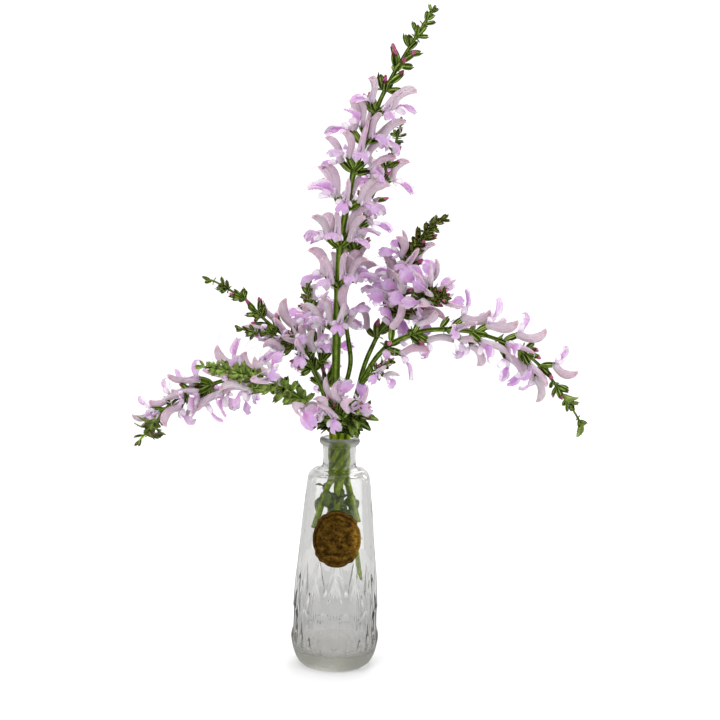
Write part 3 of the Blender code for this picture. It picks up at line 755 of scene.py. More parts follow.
def add_lip(growth, draw, placed, tones):
    """The middle lobe of the lower lip: a narrow claw that opens into a cupped, notched, wavy lobe."""
    cup = draw.uniform(1.6, 3.0) if draw.random() < 0.25 else -draw.uniform(2.6, 4.8)
    droop = draw.uniform(-16.0, 16.0)
    wave = draw.uniform(0.0, math.tau)
    spread = draw.uniform(0.9, 1.05)
    root = Vector((12.0, 0.0, -1.2))
    turn = Matrix.Rotation(math.radians(droop), 3, "Y")
    front, back = [], []
    for i in range(LIP_ROWS + 1):
        v = i / LIP_ROWS
        half = read(LIP_WIDTH, v) * spread
        near, far = [], []
        for k in range(-LIP_HALF, LIP_HALF + 1):
            u = k / LIP_HALF
            notch = 0.13 * bump(u, 0.0, 0.28) * v ** 5 + 0.05 * u * u * v
            (x, z), angle = follow(LIP_PATH, v - notch)
            pad = smoothstep((v - 0.34) / 0.2)
            lift = cup * (abs(u) ** 2.0 + 0.4 * smoothstep((v - 0.75) / 0.25)) * pad
            lift += 0.9 * u * u * (1.0 - pad)
            lift += 0.6 * pad * math.sin(3.4 * math.pi * abs(u) + 9.0 * v + wave) * abs(u) ** 1.5
            normal = Vector((-math.sin(angle), 0.0, math.cos(angle)))
            middle = Vector((x, half * math.sin(u * 1.35) / math.sin(1.35), z)) + normal * lift
            colour = mix(tones.lip, tones.throat, bump(v, 0.40, 0.13) * bump(u, 0.0, 0.8) * 0.85)
            colour = mix(CREAM, colour, smoothstep(v / 0.3))
            colour = mix(colour, PINK, 0.3 * smoothstep((abs(u) - 0.6) / 0.4) * v)
            place = ((u + 1) / 2, 1.0 + v)
            for row, side in ((near, 1), (far, -1)):
                point = middle + normal * (PETAL_THICKNESS / 2 * side)
                row.append((root + turn @ (point - root), colour, place))
        front.append(near)
        back.append(far)
    growth.shell(front, back, placed)


def add_side_lobes(growth, draw, placed, tones):
    """The two small lobes at the sides of the lower lip."""
    for side in (-1, 1):
        sweep = draw.uniform(0.7, 1.15)
        front, back = [], []
        for i in range(6):
            v = i / 5
            half = read(((0.0, 1.4), (0.45, 2.2), (0.8, 2.0), (1.0, 0.7)), v)
            centre = Vector((14.2 + 3.8 * v, side * (1.6 + 4.4 * v * sweep), -1.9 - 3.6 * v * v))
            along = Vector((0.75, 0.0, 0.65))
            normal = Vector((0.5, side * 0.6, -0.6)).normalized()
            near, far = [], []
            for k in range(-2, 3):
                u = k / 2
                middle = centre + along * (half * u) + normal * (0.5 * u * u * v)
                colour = mix(tones.throat, mix(tones.lip, VIOLET, 0.35), smoothstep(v / 0.6))
                for row, face in ((near, 1), (far, -1)):
                    row.append((middle + normal * (PETAL_THICKNESS / 2 * face), colour, ((u + 1) / 2, v)))
            front.append(near)
            back.append(far)
        growth.shell(front, back, placed)


ANTHER_SHARE = 0.12  # of the flowers, whose anthers hang out of the hood


def add_threads(growth, draw, placed, places):
    """The style, which reaches out of the hood's tip and forks, and now and then an anther."""
    points = []
    for share in (0.35, 0.55, 0.75, 0.9, 1.0):
        x, z, angle = places[round(share * HOOD_ROWS)]
        high = read(HOOD_DEPTH, share) * 0.55
        points.append(Vector((x - math.sin(angle) * high, 0.0, z + math.cos(angle) * high)))
    angle = places[-1][2] + math.radians(draw.uniform(-8, 14))
    side = draw.uniform(-0.12, 0.12)
    for _ in range(6):
        angle -= math.radians(draw.uniform(-1.0, 8.0))
        points.append(points[-1] + Vector((math.cos(angle), side, math.sin(angle))) * 1.7)
    count = len(points)
    shades = [mix(CREAM, PINK, i / count) for i in range(count)]
    thread(growth, points, [0.16] * (count - 1) + [0.1], shades, placed)
    for fork in (-1, 1):
        ahead = Vector((math.cos(angle), 0.45 * fork, math.sin(angle) + 0.2 * fork)).normalized()
        thread(growth, [points[-1] - ahead * 0.1, points[-1] + ahead * 0.6, points[-1] + ahead * 1.3],
               [0.1, 0.1, 0.05], [PINK] * 3, placed, 4)
    if draw.random() > ANTHER_SHARE:
        return
    row = round(HOOD_ROWS * draw.uniform(0.5, 0.7))
    x, z, angle = places[row]
    low = read(HOOD_DEPTH, row / HOOD_ROWS)
    down = Vector((math.sin(angle) + 0.5, draw.uniform(-0.3, 0.3), -math.cos(angle))).normalized()
    start = Vector((x, 0.0, z)) + Vector((math.sin(angle), 0.0, -math.cos(angle))) * low * 0.8
    hanging = [start, start + down * 0.9, start + down * 1.6]
    thread(growth, hanging, [0.16, 0.14, 0.12], [CREAM] * 3, placed, 4)
    head = start + down * 1.5
    across = Vector((0.0, 1.0, 0.0))
    rings = [[(head, OCHRE, (0, 0))]]
    for step, radius in ((0.3, 0.35), (1.0, 0.45), (1.6, 0.32)):
        rings.append(round_ring(head + down * step, across, down.cross(across).normalized(), radius, OCHRE,
                                0.5, 6))
    growth.tube([*rings, [(head + down * 1.9, OCHRE, (0, 1))]], placed)


def add_flower(growth, draw, placed):
    tones = petal_tones(draw)
    places = hood_places(HOOD_START + draw.uniform(-8.0, 8.0), HOOD_TURN * draw.uniform(0.8, 1.15),
                         HOOD_LENGTH * draw.uniform(0.9, 1.05))
    add_hood(growth, draw, placed, tones, places)
    add_lip(growth, draw, placed, tones)
    add_side_lobes(growth, draw, placed, tones)
    add_threads(growth, draw, placed, places)


def add_blade(growth, draw, placed, half_width, thick, fold, arch, teeth, light):
    """A leaf or bract with a folded midrib, toothed edges and quilted veins, one unit long."""
    rows, columns = 12, 3
    tone = mix(LEAF, LEAF_LIGHT, max(0.0, light) * draw.uniform(0.2, 0.6))
    tone = mix(tone, LEAF_DARK, -light)
    twist = draw.uniform(-0.25, 0.25)
    front, back = [], []
    for i in range(rows + 1):
        v = i / rows
        outline = math.sin(math.pi * min(1.0, 0.04 + 0.93 * v ** 0.85)) ** 0.8
        half = half_width * max(0.06, outline) * (1.0 + (0.06 if i % 2 else -0.06) * teeth)
        near, far = [], []
        for k in range(-columns, columns + 1):
            u = k / columns
            x = v - 0.02
            z = arch * math.sin(math.pi * v) * 0.1 - 0.1 * arch * v * v + fold * abs(u) * half
            z += 0.012 * math.sin(9.0 * math.pi * (v - 0.25 * abs(u))) * abs(u)
            y = half * u + twist * z
            vein = bump(u, 0.0, 0.16) + 0.45 * max(0.0, math.sin(9.0 * math.pi * (v - 0.3 * abs(u)))) ** 6
            colour = mix(tone, mix(LEAF_LIGHT, PITH, 0.3), 0.55 * vein)
            colour = mix(colour, LEAF_DARK, 0.3 * smoothstep((abs(u) - 0.7) / 0.3))
            place = ((u + 1) / 2, v)
            for row, side in ((near, 1), (far, -1)):
                shade = colour if side > 0 else mix(colour, PITH, 0.15)
                row.append(((x, y, z + side * thick / 2), shade, place))
        front.append(near)
        back.append(far)
    growth.shell(front, back, placed)


PAINTED_LIGHT_IN_GLASS = (0.40, 0.55, 0.010)  # painted light: the stems below the lip are painted this brighter green, standing in for the light that reaches them from all sides through the glass


def stem_shade(line, index):
    """The green of a stem at a point: darker and browner towards the tip, and below the lip the brighter
    green of painted light.
    """
    share = index / (len(line.points) - 1)
    shade = mix(mix(STEM_DARK, LEAF, 0.35), mix(STEM_DARK, BROWN, 0.4), smoothstep((share - 0.45) / 0.5))
    return mix(PAINTED_LIGHT_IN_GLASS, shade, smoothstep((line.points[index].z - MOUTH_LEVEL + 6.0) / 12.0))


def add_stem(growth, line, whorls):
    """A square, grooved stem that swells a little where its whorls are."""
    rings = []
    last = len(line.points) - 1
    for i, (point, tangent, normal, radius) in enumerate(zip(line.points, line.tangents, line.normals,
                                                              line.radii)):
        side = tangent.cross(normal)
        swell = 1.0 + 0.22 * max((bump(i * SAMPLE, w * SAMPLE, 3.0) for w in whorls), default=0.0)
        dark = stem_shade(line, i)
        ring = []
        for k in range(16):
            angle = math.tau * k / 16
            corner = (1.0, 0.95, 0.86, 0.95)[k % 4]
            groove = 0.035 * math.sin(i * 0.37) + 0.02 * math.sin(i * 0.9 + k)
            r = radius * swell * (corner + groove) * 0.94
            # painted light and shade: the corners of the square stem are painted lighter and the faces
            # between them darker; partly the stem's own paler ridges, partly painted highlight and painted
            # shade in the grooves
            shade = mix(dark, STEM_LIGHT, (0.65, 0.15, 0.0, 0.25)[k % 4])
            place = (k / 16, i * SAMPLE * 0.05)
            ring.append((point + (normal * math.cos(angle) + side * math.sin(angle)) * r, shade, place))
        rings.append(ring)
    first, end = line.points[0], line.points[-1]
    cut = [(first + (p - first) * 0.97, PITH, uv) for p, _, uv in rings[0]]
    tip = end + line.tangents[-1] * 0.8
    rings = [[(first, PITH, (0.5, 0.0))], cut, *rings, [(tip, stem_shade(line, last), (0.5, 1.0))]]
    growth.tube(rings, Matrix.Scale(MM, 4))


def whorl_indices(line):
    spike = line.spike
    return [line.from_tip(TIP_GAP + spike.first_gap * w + spike.gap_growth * w * (w - 1) / 2)
            for w in range(spike.whorls)]


BRACT_LENGTH = 7.0


def add_bracts(growth, line, number):
    """A pair of small pointed bracts under each whorl of a spike."""
    draw = random.Random(500 + number)
    for whorl, index in enumerate(whorl_indices(line)):
        size = BRACT_LENGTH * line.spike.size * min(1.0, 0.5 + 0.1 * whorl) * draw.uniform(0.85, 1.1)
        for side in (0, 180):
            azimuth = math.radians(line.spike.turn + 45.0 * whorl + 20.0 + side + draw.uniform(-15, 15))
            organ = line.organ(max(0, index - 1), "leaf", azimuth, math.radians(draw.uniform(60, 100)), size)
            placed = Matrix.Scale(MM, 4) @ organ.matrix @ Matrix.Scale(size, 4)
            age = 0.25 if whorl > 3 else 0.6
            add_blade(growth, draw, placed, 0.27, 0.4 / size, 0.3, 0.35, 0.0, 0.8 - age)


FLOWER_ROLL = 32.0
FLOWER_NOD = 15.0
FLOWER_SLIDE = 3.8  # how far a flower stands off its whorl, along the stem
DARK_SPIKES = ("right_up", "right_front")  # spikes whose calyces are browner
GREEN_SPIKES = ("left_front",)  # spikes in green bud, whose buds show no corolla yet
FILLERS = {"tall": 2, "tall_side": 2, "right_long": 3, "right_stub": 5, "right_up": 3, "right_front": 3,
           "back": 5, "left_up": 6, "left_small": 6, "left_long": 4, "left_front": 9, "mouth_front": 5,
           "mouth_bloom": 3}  # extra calyces in each whorl
MOUTH_LEAVES = 22  # on each stem, just above the lip
INNER_LEAVES = 6  # on each stem, under the shoulder


def filler_organs(lines, organs):
    """More calyces between those that the solids have, where there is room."""
    space = Space(lines.values())
    for organ in organs:
        space.add(organ)
    extra = []
    for number, (name, line) in enumerate(lines.items()):
        draw = random.Random(300 + number)
        spike = line.spike
        for whorl, index in enumerate(whorl_indices(line)):
            if whorl < 1 or (name == "tall" and whorl < 6):
                continue
            for k in range(FILLERS[name]):
                azimuth = spike.turn + WHORL_TURN * (whorl + 0.5) + 360.0 * k / FILLERS[name]
                azimuth = math.radians(azimuth + draw.uniform(-25.0, 25.0))
                tilt = math.radians(draw.uniform(30.0, 85.0))
                size = spike.size * min(1.0, 0.55 + 0.12 * whorl) * draw.uniform(0.62, 0.95)
                organ = settle(space, line, index - draw.randrange(2), ("calyx",), azimuth, tilt, size)
                if organ:
                    extra.append(organ)
    return extra


def add_small_leaves(growth, line, seed):
    """The crowd of dark leaves over the lip, and ones that hang inside the bottle, painted brighter as
    painted light that comes through the glass.
    """
    draw = random.Random(800 + seed)
    for k in range(MOUTH_LEAVES + INNER_LEAVES):
        inside = k >= MOUTH_LEAVES
        height = draw.uniform(108.0, 132.0) if inside else MOUTH_LEVEL - 1.5 + draw.random() * 13.0
        size = draw.uniform(8.0, 13.0) if inside else draw.uniform(9.0, 15.0)
        tilt = math.radians(draw.uniform(120.0, 160.0) if inside else draw.uniform(45.0, 100.0))
        azimuth = math.radians(137.5 * k + draw.uniform(-20.0, 20.0))
        if line.points[0].z > height:
            continue
        organ = line.organ(line.at_height(height), "leaf", azimuth, tilt, size)
        if any(meets_bottle(*ball) for ball in balls_of(organ)):
            continue
        placed = Matrix.Scale(MM, 4) @ organ.matrix @ Matrix.Scale(size, 4)
        # painted light: the leaves inside the bottle are painted brighter (light 1.6), standing in for the
        # light that reaches them through the glass
        light = 1.6 if inside else draw.choice((-0.9, -0.8, -0.6, -0.3, 0.5))
        half_width = 0.30 if inside else 0.34
        add_blade(growth, draw, placed, half_width, 0.5 / size, 0.3, 1.0, 1.0, light)


def grow_stem(stem, lines, organs, green, petal):
    """The green piece and the petal piece of one stem, which replace its solid."""
    leafy, bloom = Growth(), Growth()
    for number, (name, line) in enumerate(lines.items()):
        if line.spike.stem != stem:
            continue
        add_stem(leafy, line, whorl_indices(line))
        add_bracts(leafy, line, number)
        if line.points[0].z < MOUTH_LEVEL:
            add_small_leaves(leafy, line, number)
    for number, organ in enumerate(organs):
        if organ.stem != stem:
            continue
        draw = random.Random(1000 + number)
        placed = Matrix.Scale(MM, 4) @ organ.matrix @ Matrix.Scale(organ.size, 4)
        if organ.kind != "leaf":
            slide = Vector((0.64, 0.0, 0.77)) * draw.uniform(-FLOWER_SLIDE, FLOWER_SLIDE)
            roll = Matrix.Rotation(math.radians(draw.uniform(-FLOWER_ROLL, FLOWER_ROLL)), 4, "X")
            nod = Matrix.Rotation(math.radians(draw.uniform(-FLOWER_NOD, FLOWER_NOD)), 4, "Y")
            placed = placed @ Matrix.Translation(slide) @ nod @ roll
        age = 0.85 if organ.spike in DARK_SPIKES else 0.12
        if organ.spike in GREEN_SPIKES:
            age = -1.0
        if organ.kind == "leaf":
            add_blade(leafy, draw, placed, 0.21, 0.6 / organ.size, 0.3, 1.0, 1.0, 0.5)
        else:
            gape = {"calyx": draw.uniform(0.0, 0.35), "bud": 0.6, "open": 0.9}[organ.kind]
            add_calyx(leafy, draw, placed, gape, age)
        if organ.kind == "bud" and organ.spike not in GREEN_SPIKES:
            add_bud(bloom, draw, placed)
        if organ.kind == "open":
            add_flower(bloom, draw, placed)
    leaves = leafy.make(stem + "_green", green)
    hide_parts(stem)
    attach(leaves, "root")
    petals = bloom.make(stem + "_petals", petal)
    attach(petals, "root")


def cavity_radii():
    """The cavity from its floor up to the mouth, as (radius, height)."""
    heights = (FLOOR_THICKNESS + 3.0, 22.0, 47.0, 70.0, 102.0, SHOULDER_INSIDE - 3.0)
    walls = [(bottle_radius(z) - WALL, z) for z in heights]
    floor = [(0.0, FLOOR_THICKNESS - 1.0), (walls[0][0] - 4.0, FLOOR_THICKNESS)]
    neck = [(walls[-1][0] - 4.0, SHOULDER_INSIDE), (BORE_RADIUS + 1.5, NECK_BOTTOM - 1.5),
            (BORE_RADIUS, NECK_BOTTOM + 2.0), (BORE_RADIUS, BOTTLE_HEIGHT - 5.0),
            (MOUTH_FLARE, BOTTLE_HEIGHT)]
    return floor + walls + neck


LATHE = 312  # points round the fine bottle
FLUTE_COUNT = 12
RIB_TOP = 71.0
EDGE_BEAD = 0.3  # how far the rounded edge of a flute stands up


def lens_share(height, low, high, skew):
    """The half-width of a pointed lens at a height, from 0 at its ends to 1."""
    share = (height - low) / (high - low)
    if not 0.0 < share < 1.0:
        return 0.0
    return math.sin(math.pi * share ** skew)


def relief(angle, height):
    """How deep the pressed pattern is at a place on the bottle: hollow flutes with sharp edges."""
    if height > RIB_TOP + 2.0 or height < 8.0:
        return 0.0
    pitch = math.tau / FLUTE_COUNT
    cut = 0.0
    for shift, low, high, skew, wide, depth in (
            (0.0, 16.0, 71.0, 0.75, 0.46, 1.6), (0.5, 9.0, 45.0, 1.5, 0.40, 1.5)):
        half = lens_share(height, low, high, skew) * wide * pitch
        off = abs((angle / pitch - shift + 0.5) % 1.0 - 0.5) * pitch
        if half > 0.0 and off < half:
            cut = max(cut, depth * (1.0 - (off / half) ** 2) * min(1.0, half / (0.3 * pitch)))
        if half > 0.0:
            edge = (off - half) * bottle_radius(height)
            cut -= EDGE_BEAD * bump(edge, 0.0, 0.9) * min(1.0, half / (0.12 * pitch))
    return cut


def fine_profile(table, step):
    """A smooth profile through (radius, height) pairs, with points a step apart."""
    points = smooth_curve([Vector((r, 0.0, z)) for r, z in table], step)
    return [(max(0.0, p.x), p.z) for p in points]


def lathe_ring(radius, height, pattern=False):
    ring = []
    for i in range(LATHE):
        angle = math.tau * i / LATHE
        r = radius
        if pattern:
            r -= relief(angle, height)
            if height < 10.0:
                grain = Vector((math.cos(angle) * 22.0, math.sin(angle) * 22.0, height))
                r -= 0.22 * smoothstep((10.0 - height) / 3.0) * (0.5 + noise.noise(grain * 0.9))
        r += 0.10 * noise.noise(Vector((math.cos(angle) * 1.3, math.sin(angle) * 1.3, height * 0.035)))
        point = (r * math.cos(angle), r * math.sin(angle), height)
        ring.append((point, (1.0, 1.0, 1.0), (i / LATHE, height)))
    return ring


WALL_THINNING = 1.4  # how much thinner the fine bottle's wall is than the solid's


SHOULDER_CAVITY = ((19.4, 130.0), (18.6, 134.0), (17.0, 136.3), (13.6, 137.8), (10.0, 139.0), (8.7, 141.5))


def fine_cavity():
    """The inside of the fine bottle: its wall thins out above the thick base, up to the shoulder."""
    table = []
    for r, z in cavity_radii():
        if z < SHOULDER_CAVITY[0][1] - 6.0:
            table.append((r + (WALL_THINNING if z > 30.0 else 0.0), z))
    table += SHOULDER_CAVITY
    table += [(r, z) for r, z in cavity_radii() if z > SHOULDER_CAVITY[-1][1] + 2.0]
    return fine_profile(table, 3.0)


def make_bottle(glass):
    growth = Growth()
    foot = [(0.6, 1.2), (9.0, 1.1), (16.0, 0.8), (20.0, 0.25)]
    outside = foot + fine_profile(BOTTLE_PROFILE, 1.0)
    inside = [(r, z) for r, z in reversed(fine_cavity()) if r > 0.5]
    rings = [lathe_ring(r, z, z > 3.0) for r, z in outside]
    rings += [lathe_ring(r, z) for r, z in inside]
    white = (1.0, 1.0, 1.0)
    growth.tube([[((0, 0, 1.2), white, (0, 0))], *rings, [((0, 0, FLOOR_THICKNESS - 1.0), white, (0, 0))]],
                Matrix.Scale(MM, 4))
    add_seeds(growth)
    bottle = growth.make("bottle_glass", glass)
    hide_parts("glass_bottle")
    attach(bottle, "root")


SEEDS = 90
SEED_ROOM = 1.2  # least glass left round a seed


def add_seeds(growth):
    """Small bubbles inside the glass of the wall, each a little closed surface."""
    draw = random.Random(7)
    for _ in range(SEEDS):
        height = draw.uniform(16.0, 128.0)
        angle = draw.uniform(0.0, math.tau)
        size = draw.uniform(0.16, 0.42)
        depth = draw.uniform(SEED_ROOM + 1.2, WALL - SEED_ROOM)
        middle = bottle_radius(height) - depth
        centre = Vector((middle * math.cos(angle), middle * math.sin(angle), height))
        rings = [[(centre - Vector((0, 0, size * 1.5)), (1, 1, 1), (0, 0))]]
        for turn in (-50, -15, 15, 50):
            lift = math.sin(math.radians(turn)) * size * 1.5
            rings.append(round_ring(centre + Vector((0, 0, lift)), Vector((0, 1, 0)), Vector((1, 0, 0)),
                                    size * math.cos(math.radians(turn)), (1, 1, 1), 0.0, 8))
        growth.tube([*rings, [(centre + Vector((0, 0, size * 1.5)), (1, 1, 1), (0, 0))]], Matrix.Scale(MM, 4))


def seal_outline(angle):
    """A point of the plaque's edge, flat: an oval with a double lobe at each of its four corners."""
    corner = (angle - math.pi / 4) % (math.pi / 2)
    corner = min(corner, math.pi / 2 - corner)
    lobe = math.exp(-((corner - 0.13) / 0.08) ** 2)
    notch = math.exp(-((corner - 0.3) / 0.09) ** 2)
    swell = SEAL_LOBE * (lobe - notch - 1.0) / 2
    return (SEAL_WIDTH / 2 + swell) * math.cos(angle), (SEAL_LENGTH / 2 + swell) * math.sin(angle)


def seal_point(across, up, thickness):
    """A point of the plaque, from its flat plan onto the front of the bottle."""
    height = SEAL_HEIGHT + up
    radius = bottle_radius(height)
    angle = -math.pi / 2 + across / bottle_radius(SEAL_HEIGHT)
    out = radius + GAP + thickness
    return (out * math.cos(angle), out * math.sin(angle), height)


SEAL_AROUND = 200
SEAL_STEPS = ((1.0, 0.0), (1.0, 0.9), (0.995, 1.6), (0.975, 2.15), (0.95, 2.45), (0.925, 2.5), (0.9, 2.35),
              (0.875, 2.0), (0.855, 1.75), (0.84, 1.6))  # share of the outline, and thickness
SEAL_FIELD_ROWS = 46


def seal_relief(across, up):
    """The raised work of the field: a worn ring, low mounds and hammer marks, with no lettering."""
    away = math.hypot(across / (SEAL_WIDTH / 2), up / (SEAL_LENGTH / 2))
    ring = 0.10 * bump(away, 0.74, 0.03)
    beaten = 0.30 * noise.noise(Vector((across * 0.22, up * 0.34, 0.0)))
    grain = 0.20 * noise.noise(Vector((across * 0.7, up * 1.3, 9.0)))
    fine = 0.24 * noise.noise(Vector((across * 1.9, up * 2.2, 4.0)))
    pits = -0.35 * max(0.0, noise.noise(Vector((across * 0.5, up * 0.6, 17.0))) - 0.15)
    return ring + beaten + grain + fine + pits


def painted_right_highlight(across, up):
    """Painted highlight: how much brighter gold the seal is painted along its right side, in short ribs,
    where the light from the right catches it.
    """
    side = across / (SEAL_WIDTH / 2)
    level = abs(up) / (SEAL_LENGTH / 2)
    ribs = 0.75 + 0.25 * math.sin(up * 2.6 + 2.0 * noise.noise(Vector((across, up, 0.0)) * 0.3))
    return 0.42 * smoothstep((side - 0.52) / 0.3) * (1.0 - smoothstep((level - 0.45) / 0.4)) * ribs


def make_seal(bronze):
    growth = Growth()
    turns = [math.tau * i / SEAL_AROUND for i in range(SEAL_AROUND)]
    rows = []
    for share, thick in SEAL_STEPS:
        row = []
        for i in range(SEAL_AROUND):
            across, up = seal_outline(math.tau * i / SEAL_AROUND)
            worn = 0.12 * noise.noise(Vector((across * 0.4, up * 0.4, 5.0)))
            high = smoothstep((thick - 1.8) / 0.8)
            # painted highlight: the right side of the rim is painted brighter gold, where the light catches
            # it
            shade = mix(DARK_BRONZE, GOLD_BRONZE, 0.02 + 0.10 * high + 0.5 * worn + painted_right_highlight(across, up))
            point = seal_point(across * share, up * share, thick + (worn if thick > 1.0 else 0.0))
            row.append((point, shade, (across, up)))
        rows.append(row)
    for step in range(1, SEAL_FIELD_ROWS):
        share = 0.84 * (1.0 - step / SEAL_FIELD_ROWS)
        row = []
        for i in range(SEAL_AROUND):
            across, up = seal_outline(math.tau * i / SEAL_AROUND)
            across, up = across * share, up * share
            high = seal_relief(across, up)
            edge = smoothstep((0.84 - share) / 0.06)
            # painted highlight: the right side of the field is painted brighter gold, where the light catches
            # it
            shade = mix(DARK_BRONZE, GOLD_BRONZE, 0.12 + 0.75 * high + painted_right_highlight(across, up))
            row.append((seal_point(across, up, 1.55 + high * edge), shade, (across, up)))
        rows.append(row)
    middle = seal_relief(0.0, 0.0)
    centre = [(seal_point(0.0, 0.0, 1.55 + middle), mix(DARK_BRONZE, GOLD_BRONZE, 0.17 + middle), (0, 0))]
    back = []
    for share in (0.35, 0.7, 0.97):
        back.append([(seal_point(across * share, up * share, 0.0), DARK_BRONZE, (across, up))
                     for across, up in map(seal_outline, turns)])
    start = [(seal_point(0.0, 0.0, 0.0), DARK_BRONZE, (0, 0))]
    growth.tube([start, *back, *rows, centre], Matrix.Scale(MM, 4))
    seal = growth.make("bronze_seal", bronze)
    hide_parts("bottle_seal")
    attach(seal, "root")


class Shader:
    """A material's node tree, with short calls to add and join nodes."""

    def __init__(self, name):
        self.material = bpy.data.materials.new(name)
        self.material.use_nodes = True
        self.tree = self.material.node_tree
        self.base = self.tree.nodes["Principled BSDF"]
        self.output = self.tree.nodes["Material Output"]

    def add(self, kind, **inputs):
        node = self.tree.nodes.new("ShaderNode" + kind)
        for name, value in inputs.items():
            node.inputs[name.replace("_", " ")].default_value = value
        return node

    def join(self, source, target):
        self.tree.links.new(source, target)

    def put(self, **values):
        for name, value in values.items():
            self.base.inputs[name.replace("_", " ")].default_value = value

    def tint(self):
        node = self.add("Attribute")
        node.attribute_name = "tint"
        return node.outputs["Color"]

    def spots(self, scale, detail=3.0, rough=0.55):
        """Noise over the object, with its scale in blobs per metre."""
        node = self.add("TexNoise", Scale=scale, Detail=detail, Roughness=rough)
        where = self.add("TexCoord")
        self.join(where.outputs["Object"], node.inputs["Vector"])
        return node.outputs["Fac"]

    def stretch(self, source, low, high, new_low, new_high):
        """A value moved from one span to another."""
        node = self.add("MapRange")
        for name, value in (("From Min", low), ("From Max", high), ("To Min", new_low), ("To Max", new_high)):
            node.inputs[name].default_value = value
        self.join(source, node.inputs["Value"])
        return node.outputs["Result"]

    def shade(self, colour, value):
        """A colour times a value."""
        node = self.add("Mix")
        node.data_type = "RGBA"
        node.blend_type = "MULTIPLY"
        node.inputs["Factor"].default_value = 1.0
        self.join(colour, node.inputs[6])
        grey = self.add("CombineColor")
        for channel in ("Red", "Green", "Blue"):
            self.join(value, grey.inputs[channel])
        self.join(grey.outputs["Color"], node.inputs[7])
        return node.outputs[2]

    def multiply(self, first, second):
        node = self.add("Math")
        node.operation = "MULTIPLY"
        self.join(first, node.inputs[0])
        self.join(second, node.inputs[1])
        return node.outputs[0]

    def sum(self, first, second):
        node = self.add("Math")
        self.join(first, node.inputs[0])
        self.join(second, node.inputs[1])
        return node.outputs[0]

    def raise_surface(self, height, strength, distance):
        node = self.add("Bump", Strength=strength, Distance=distance)
        self.join(height, node.inputs["Height"])
        self.join(node.outputs["Normal"], self.base.inputs["Normal"])
        return node.outputs["Normal"]


def petal_material():
    """Thin petals: fine veins along each lobe, soft mottling, and light that comes through."""
    s = Shader("petal_tissue")
    flat = s.add("UVMap")
    flat.uv_map = "flat"
    veins = s.add("TexWave", Scale=3.6, Distortion=1.6, Detail=2.0)
    veins.bands_direction = "X"
    s.join(flat.outputs["UV"], veins.inputs["Vector"])
    thin = s.stretch(veins.outputs["Fac"], 0.55, 1.0, 1.0, 0.86)
    soft = s.stretch(s.spots(420.0), 0.3, 0.7, 0.90, 1.08)
    colour = s.shade(s.shade(s.tint(), thin), soft)
    s.join(colour, s.base.inputs["Base Color"])
    s.join(s.stretch(s.spots(900.0), 0.3, 0.7, 0.42, 0.62), s.base.inputs["Roughness"])
    s.put(Sheen_Weight=0.03, Sheen_Roughness=0.4, Specular_IOR_Level=0.15)
    s.put(Subsurface_Weight=1.0, Subsurface_Radius=(1.0, 0.8, 0.95), Subsurface_Scale=0.0012)
    s.raise_surface(veins.outputs["Fac"], 0.12, 0.0003)
    return s.material


def green_material():
    """Stems, calyces and leaves: mottled green with a fine grain and a downy sheen."""
    s = Shader("green_tissue")
    soft = s.stretch(s.spots(260.0), 0.3, 0.7, 0.55, 1.50)
    fine = s.stretch(s.spots(1500.0, 2.0), 0.3, 0.7, 0.82, 1.18)
    colour = s.shade(s.shade(s.tint(), soft), fine)
    s.join(colour, s.base.inputs["Base Color"])
    s.join(s.stretch(s.spots(700.0), 0.3, 0.7, 0.40, 0.62), s.base.inputs["Roughness"])
    s.put(Sheen_Weight=0.06, Sheen_Roughness=0.30, Specular_IOR_Level=0.04)
    s.put(Sheen_Tint=(0.70, 0.85, 0.40, 1.0))
    normal = s.raise_surface(s.spots(1800.0, 2.0), 0.35, 0.0004)
    through = s.add("BsdfTranslucent")
    s.join(colour, through.inputs["Color"])
    s.join(normal, through.inputs["Normal"])
    both = s.add("MixShader", Fac=0.15)
    s.join(s.base.outputs["BSDF"], both.inputs[1])
    s.join(through.outputs["BSDF"], both.inputs[2])
    s.join(both.outputs["Shader"], s.output.inputs["Surface"])
    return s.material


def glass_material():
    """Pressed glass: clear, slightly grey where it is thick, with a faintly uneven surface."""
    s = Shader("pressed_glass")
    s.put(Base_Color=(1.0, 1.0, 1.0, 1.0), IOR=1.5, Transmission_Weight=1.0)
    where = s.add("TexCoord")
    split = s.add("SeparateXYZ")
    s.join(where.outputs["Object"], split.inputs["Vector"])
    foot = s.stretch(split.outputs["Z"], 0.010, 0.020, 0.32, 0.03)
    lip = s.stretch(split.outputs["Z"], 0.1555, 0.1575, 0.0, 0.30)
    s.join(s.sum(foot, lip), s.base.inputs["Roughness"])
    waves = s.stretch(s.spots(90.0, 2.0), 0.0, 1.0, 0.0, 0.12)
    low = s.stretch(split.outputs["Z"], 0.011, 0.017, 1.0, 0.0)
    s.raise_surface(s.sum(waves, s.multiply(s.spots(700.0, 3.0), low)), 0.9, 0.0009)
    dim = s.add("VolumeAbsorption", Density=62.0)
    dim.inputs["Color"].default_value = (0.80, 0.795, 0.755, 1.0)
    s.join(dim.outputs["Volume"], s.output.inputs["Volume"])
    return s.material


def bronze_material():
    """Cast bronze: dark patina in the hollows, worn gold on the high work, a painted highlight down its right
    side, fine grain all over.
    """
    s = Shader("patinated_bronze")
    soft = s.stretch(s.spots(500.0), 0.3, 0.7, 0.6, 1.35)
    fine = s.stretch(s.spots(3000.0, 2.0), 0.3, 0.7, 0.75, 1.25)
    colour = s.shade(s.shade(s.tint(), soft), fine)
    s.join(colour, s.base.inputs["Base Color"])
    s.join(s.stretch(s.spots(1100.0), 0.3, 0.7, 0.28, 0.60), s.base.inputs["Roughness"])
    s.put(Metallic=0.9)
    s.raise_surface(s.spots(2400.0, 3.0), 0.5, 0.0004)
    return s.material


def plain_material(name, colour, roughness=0.9):
    s = Shader(name)
    s.put(Base_Color=(*colour, 1.0), Roughness=roughness)
    return s.material


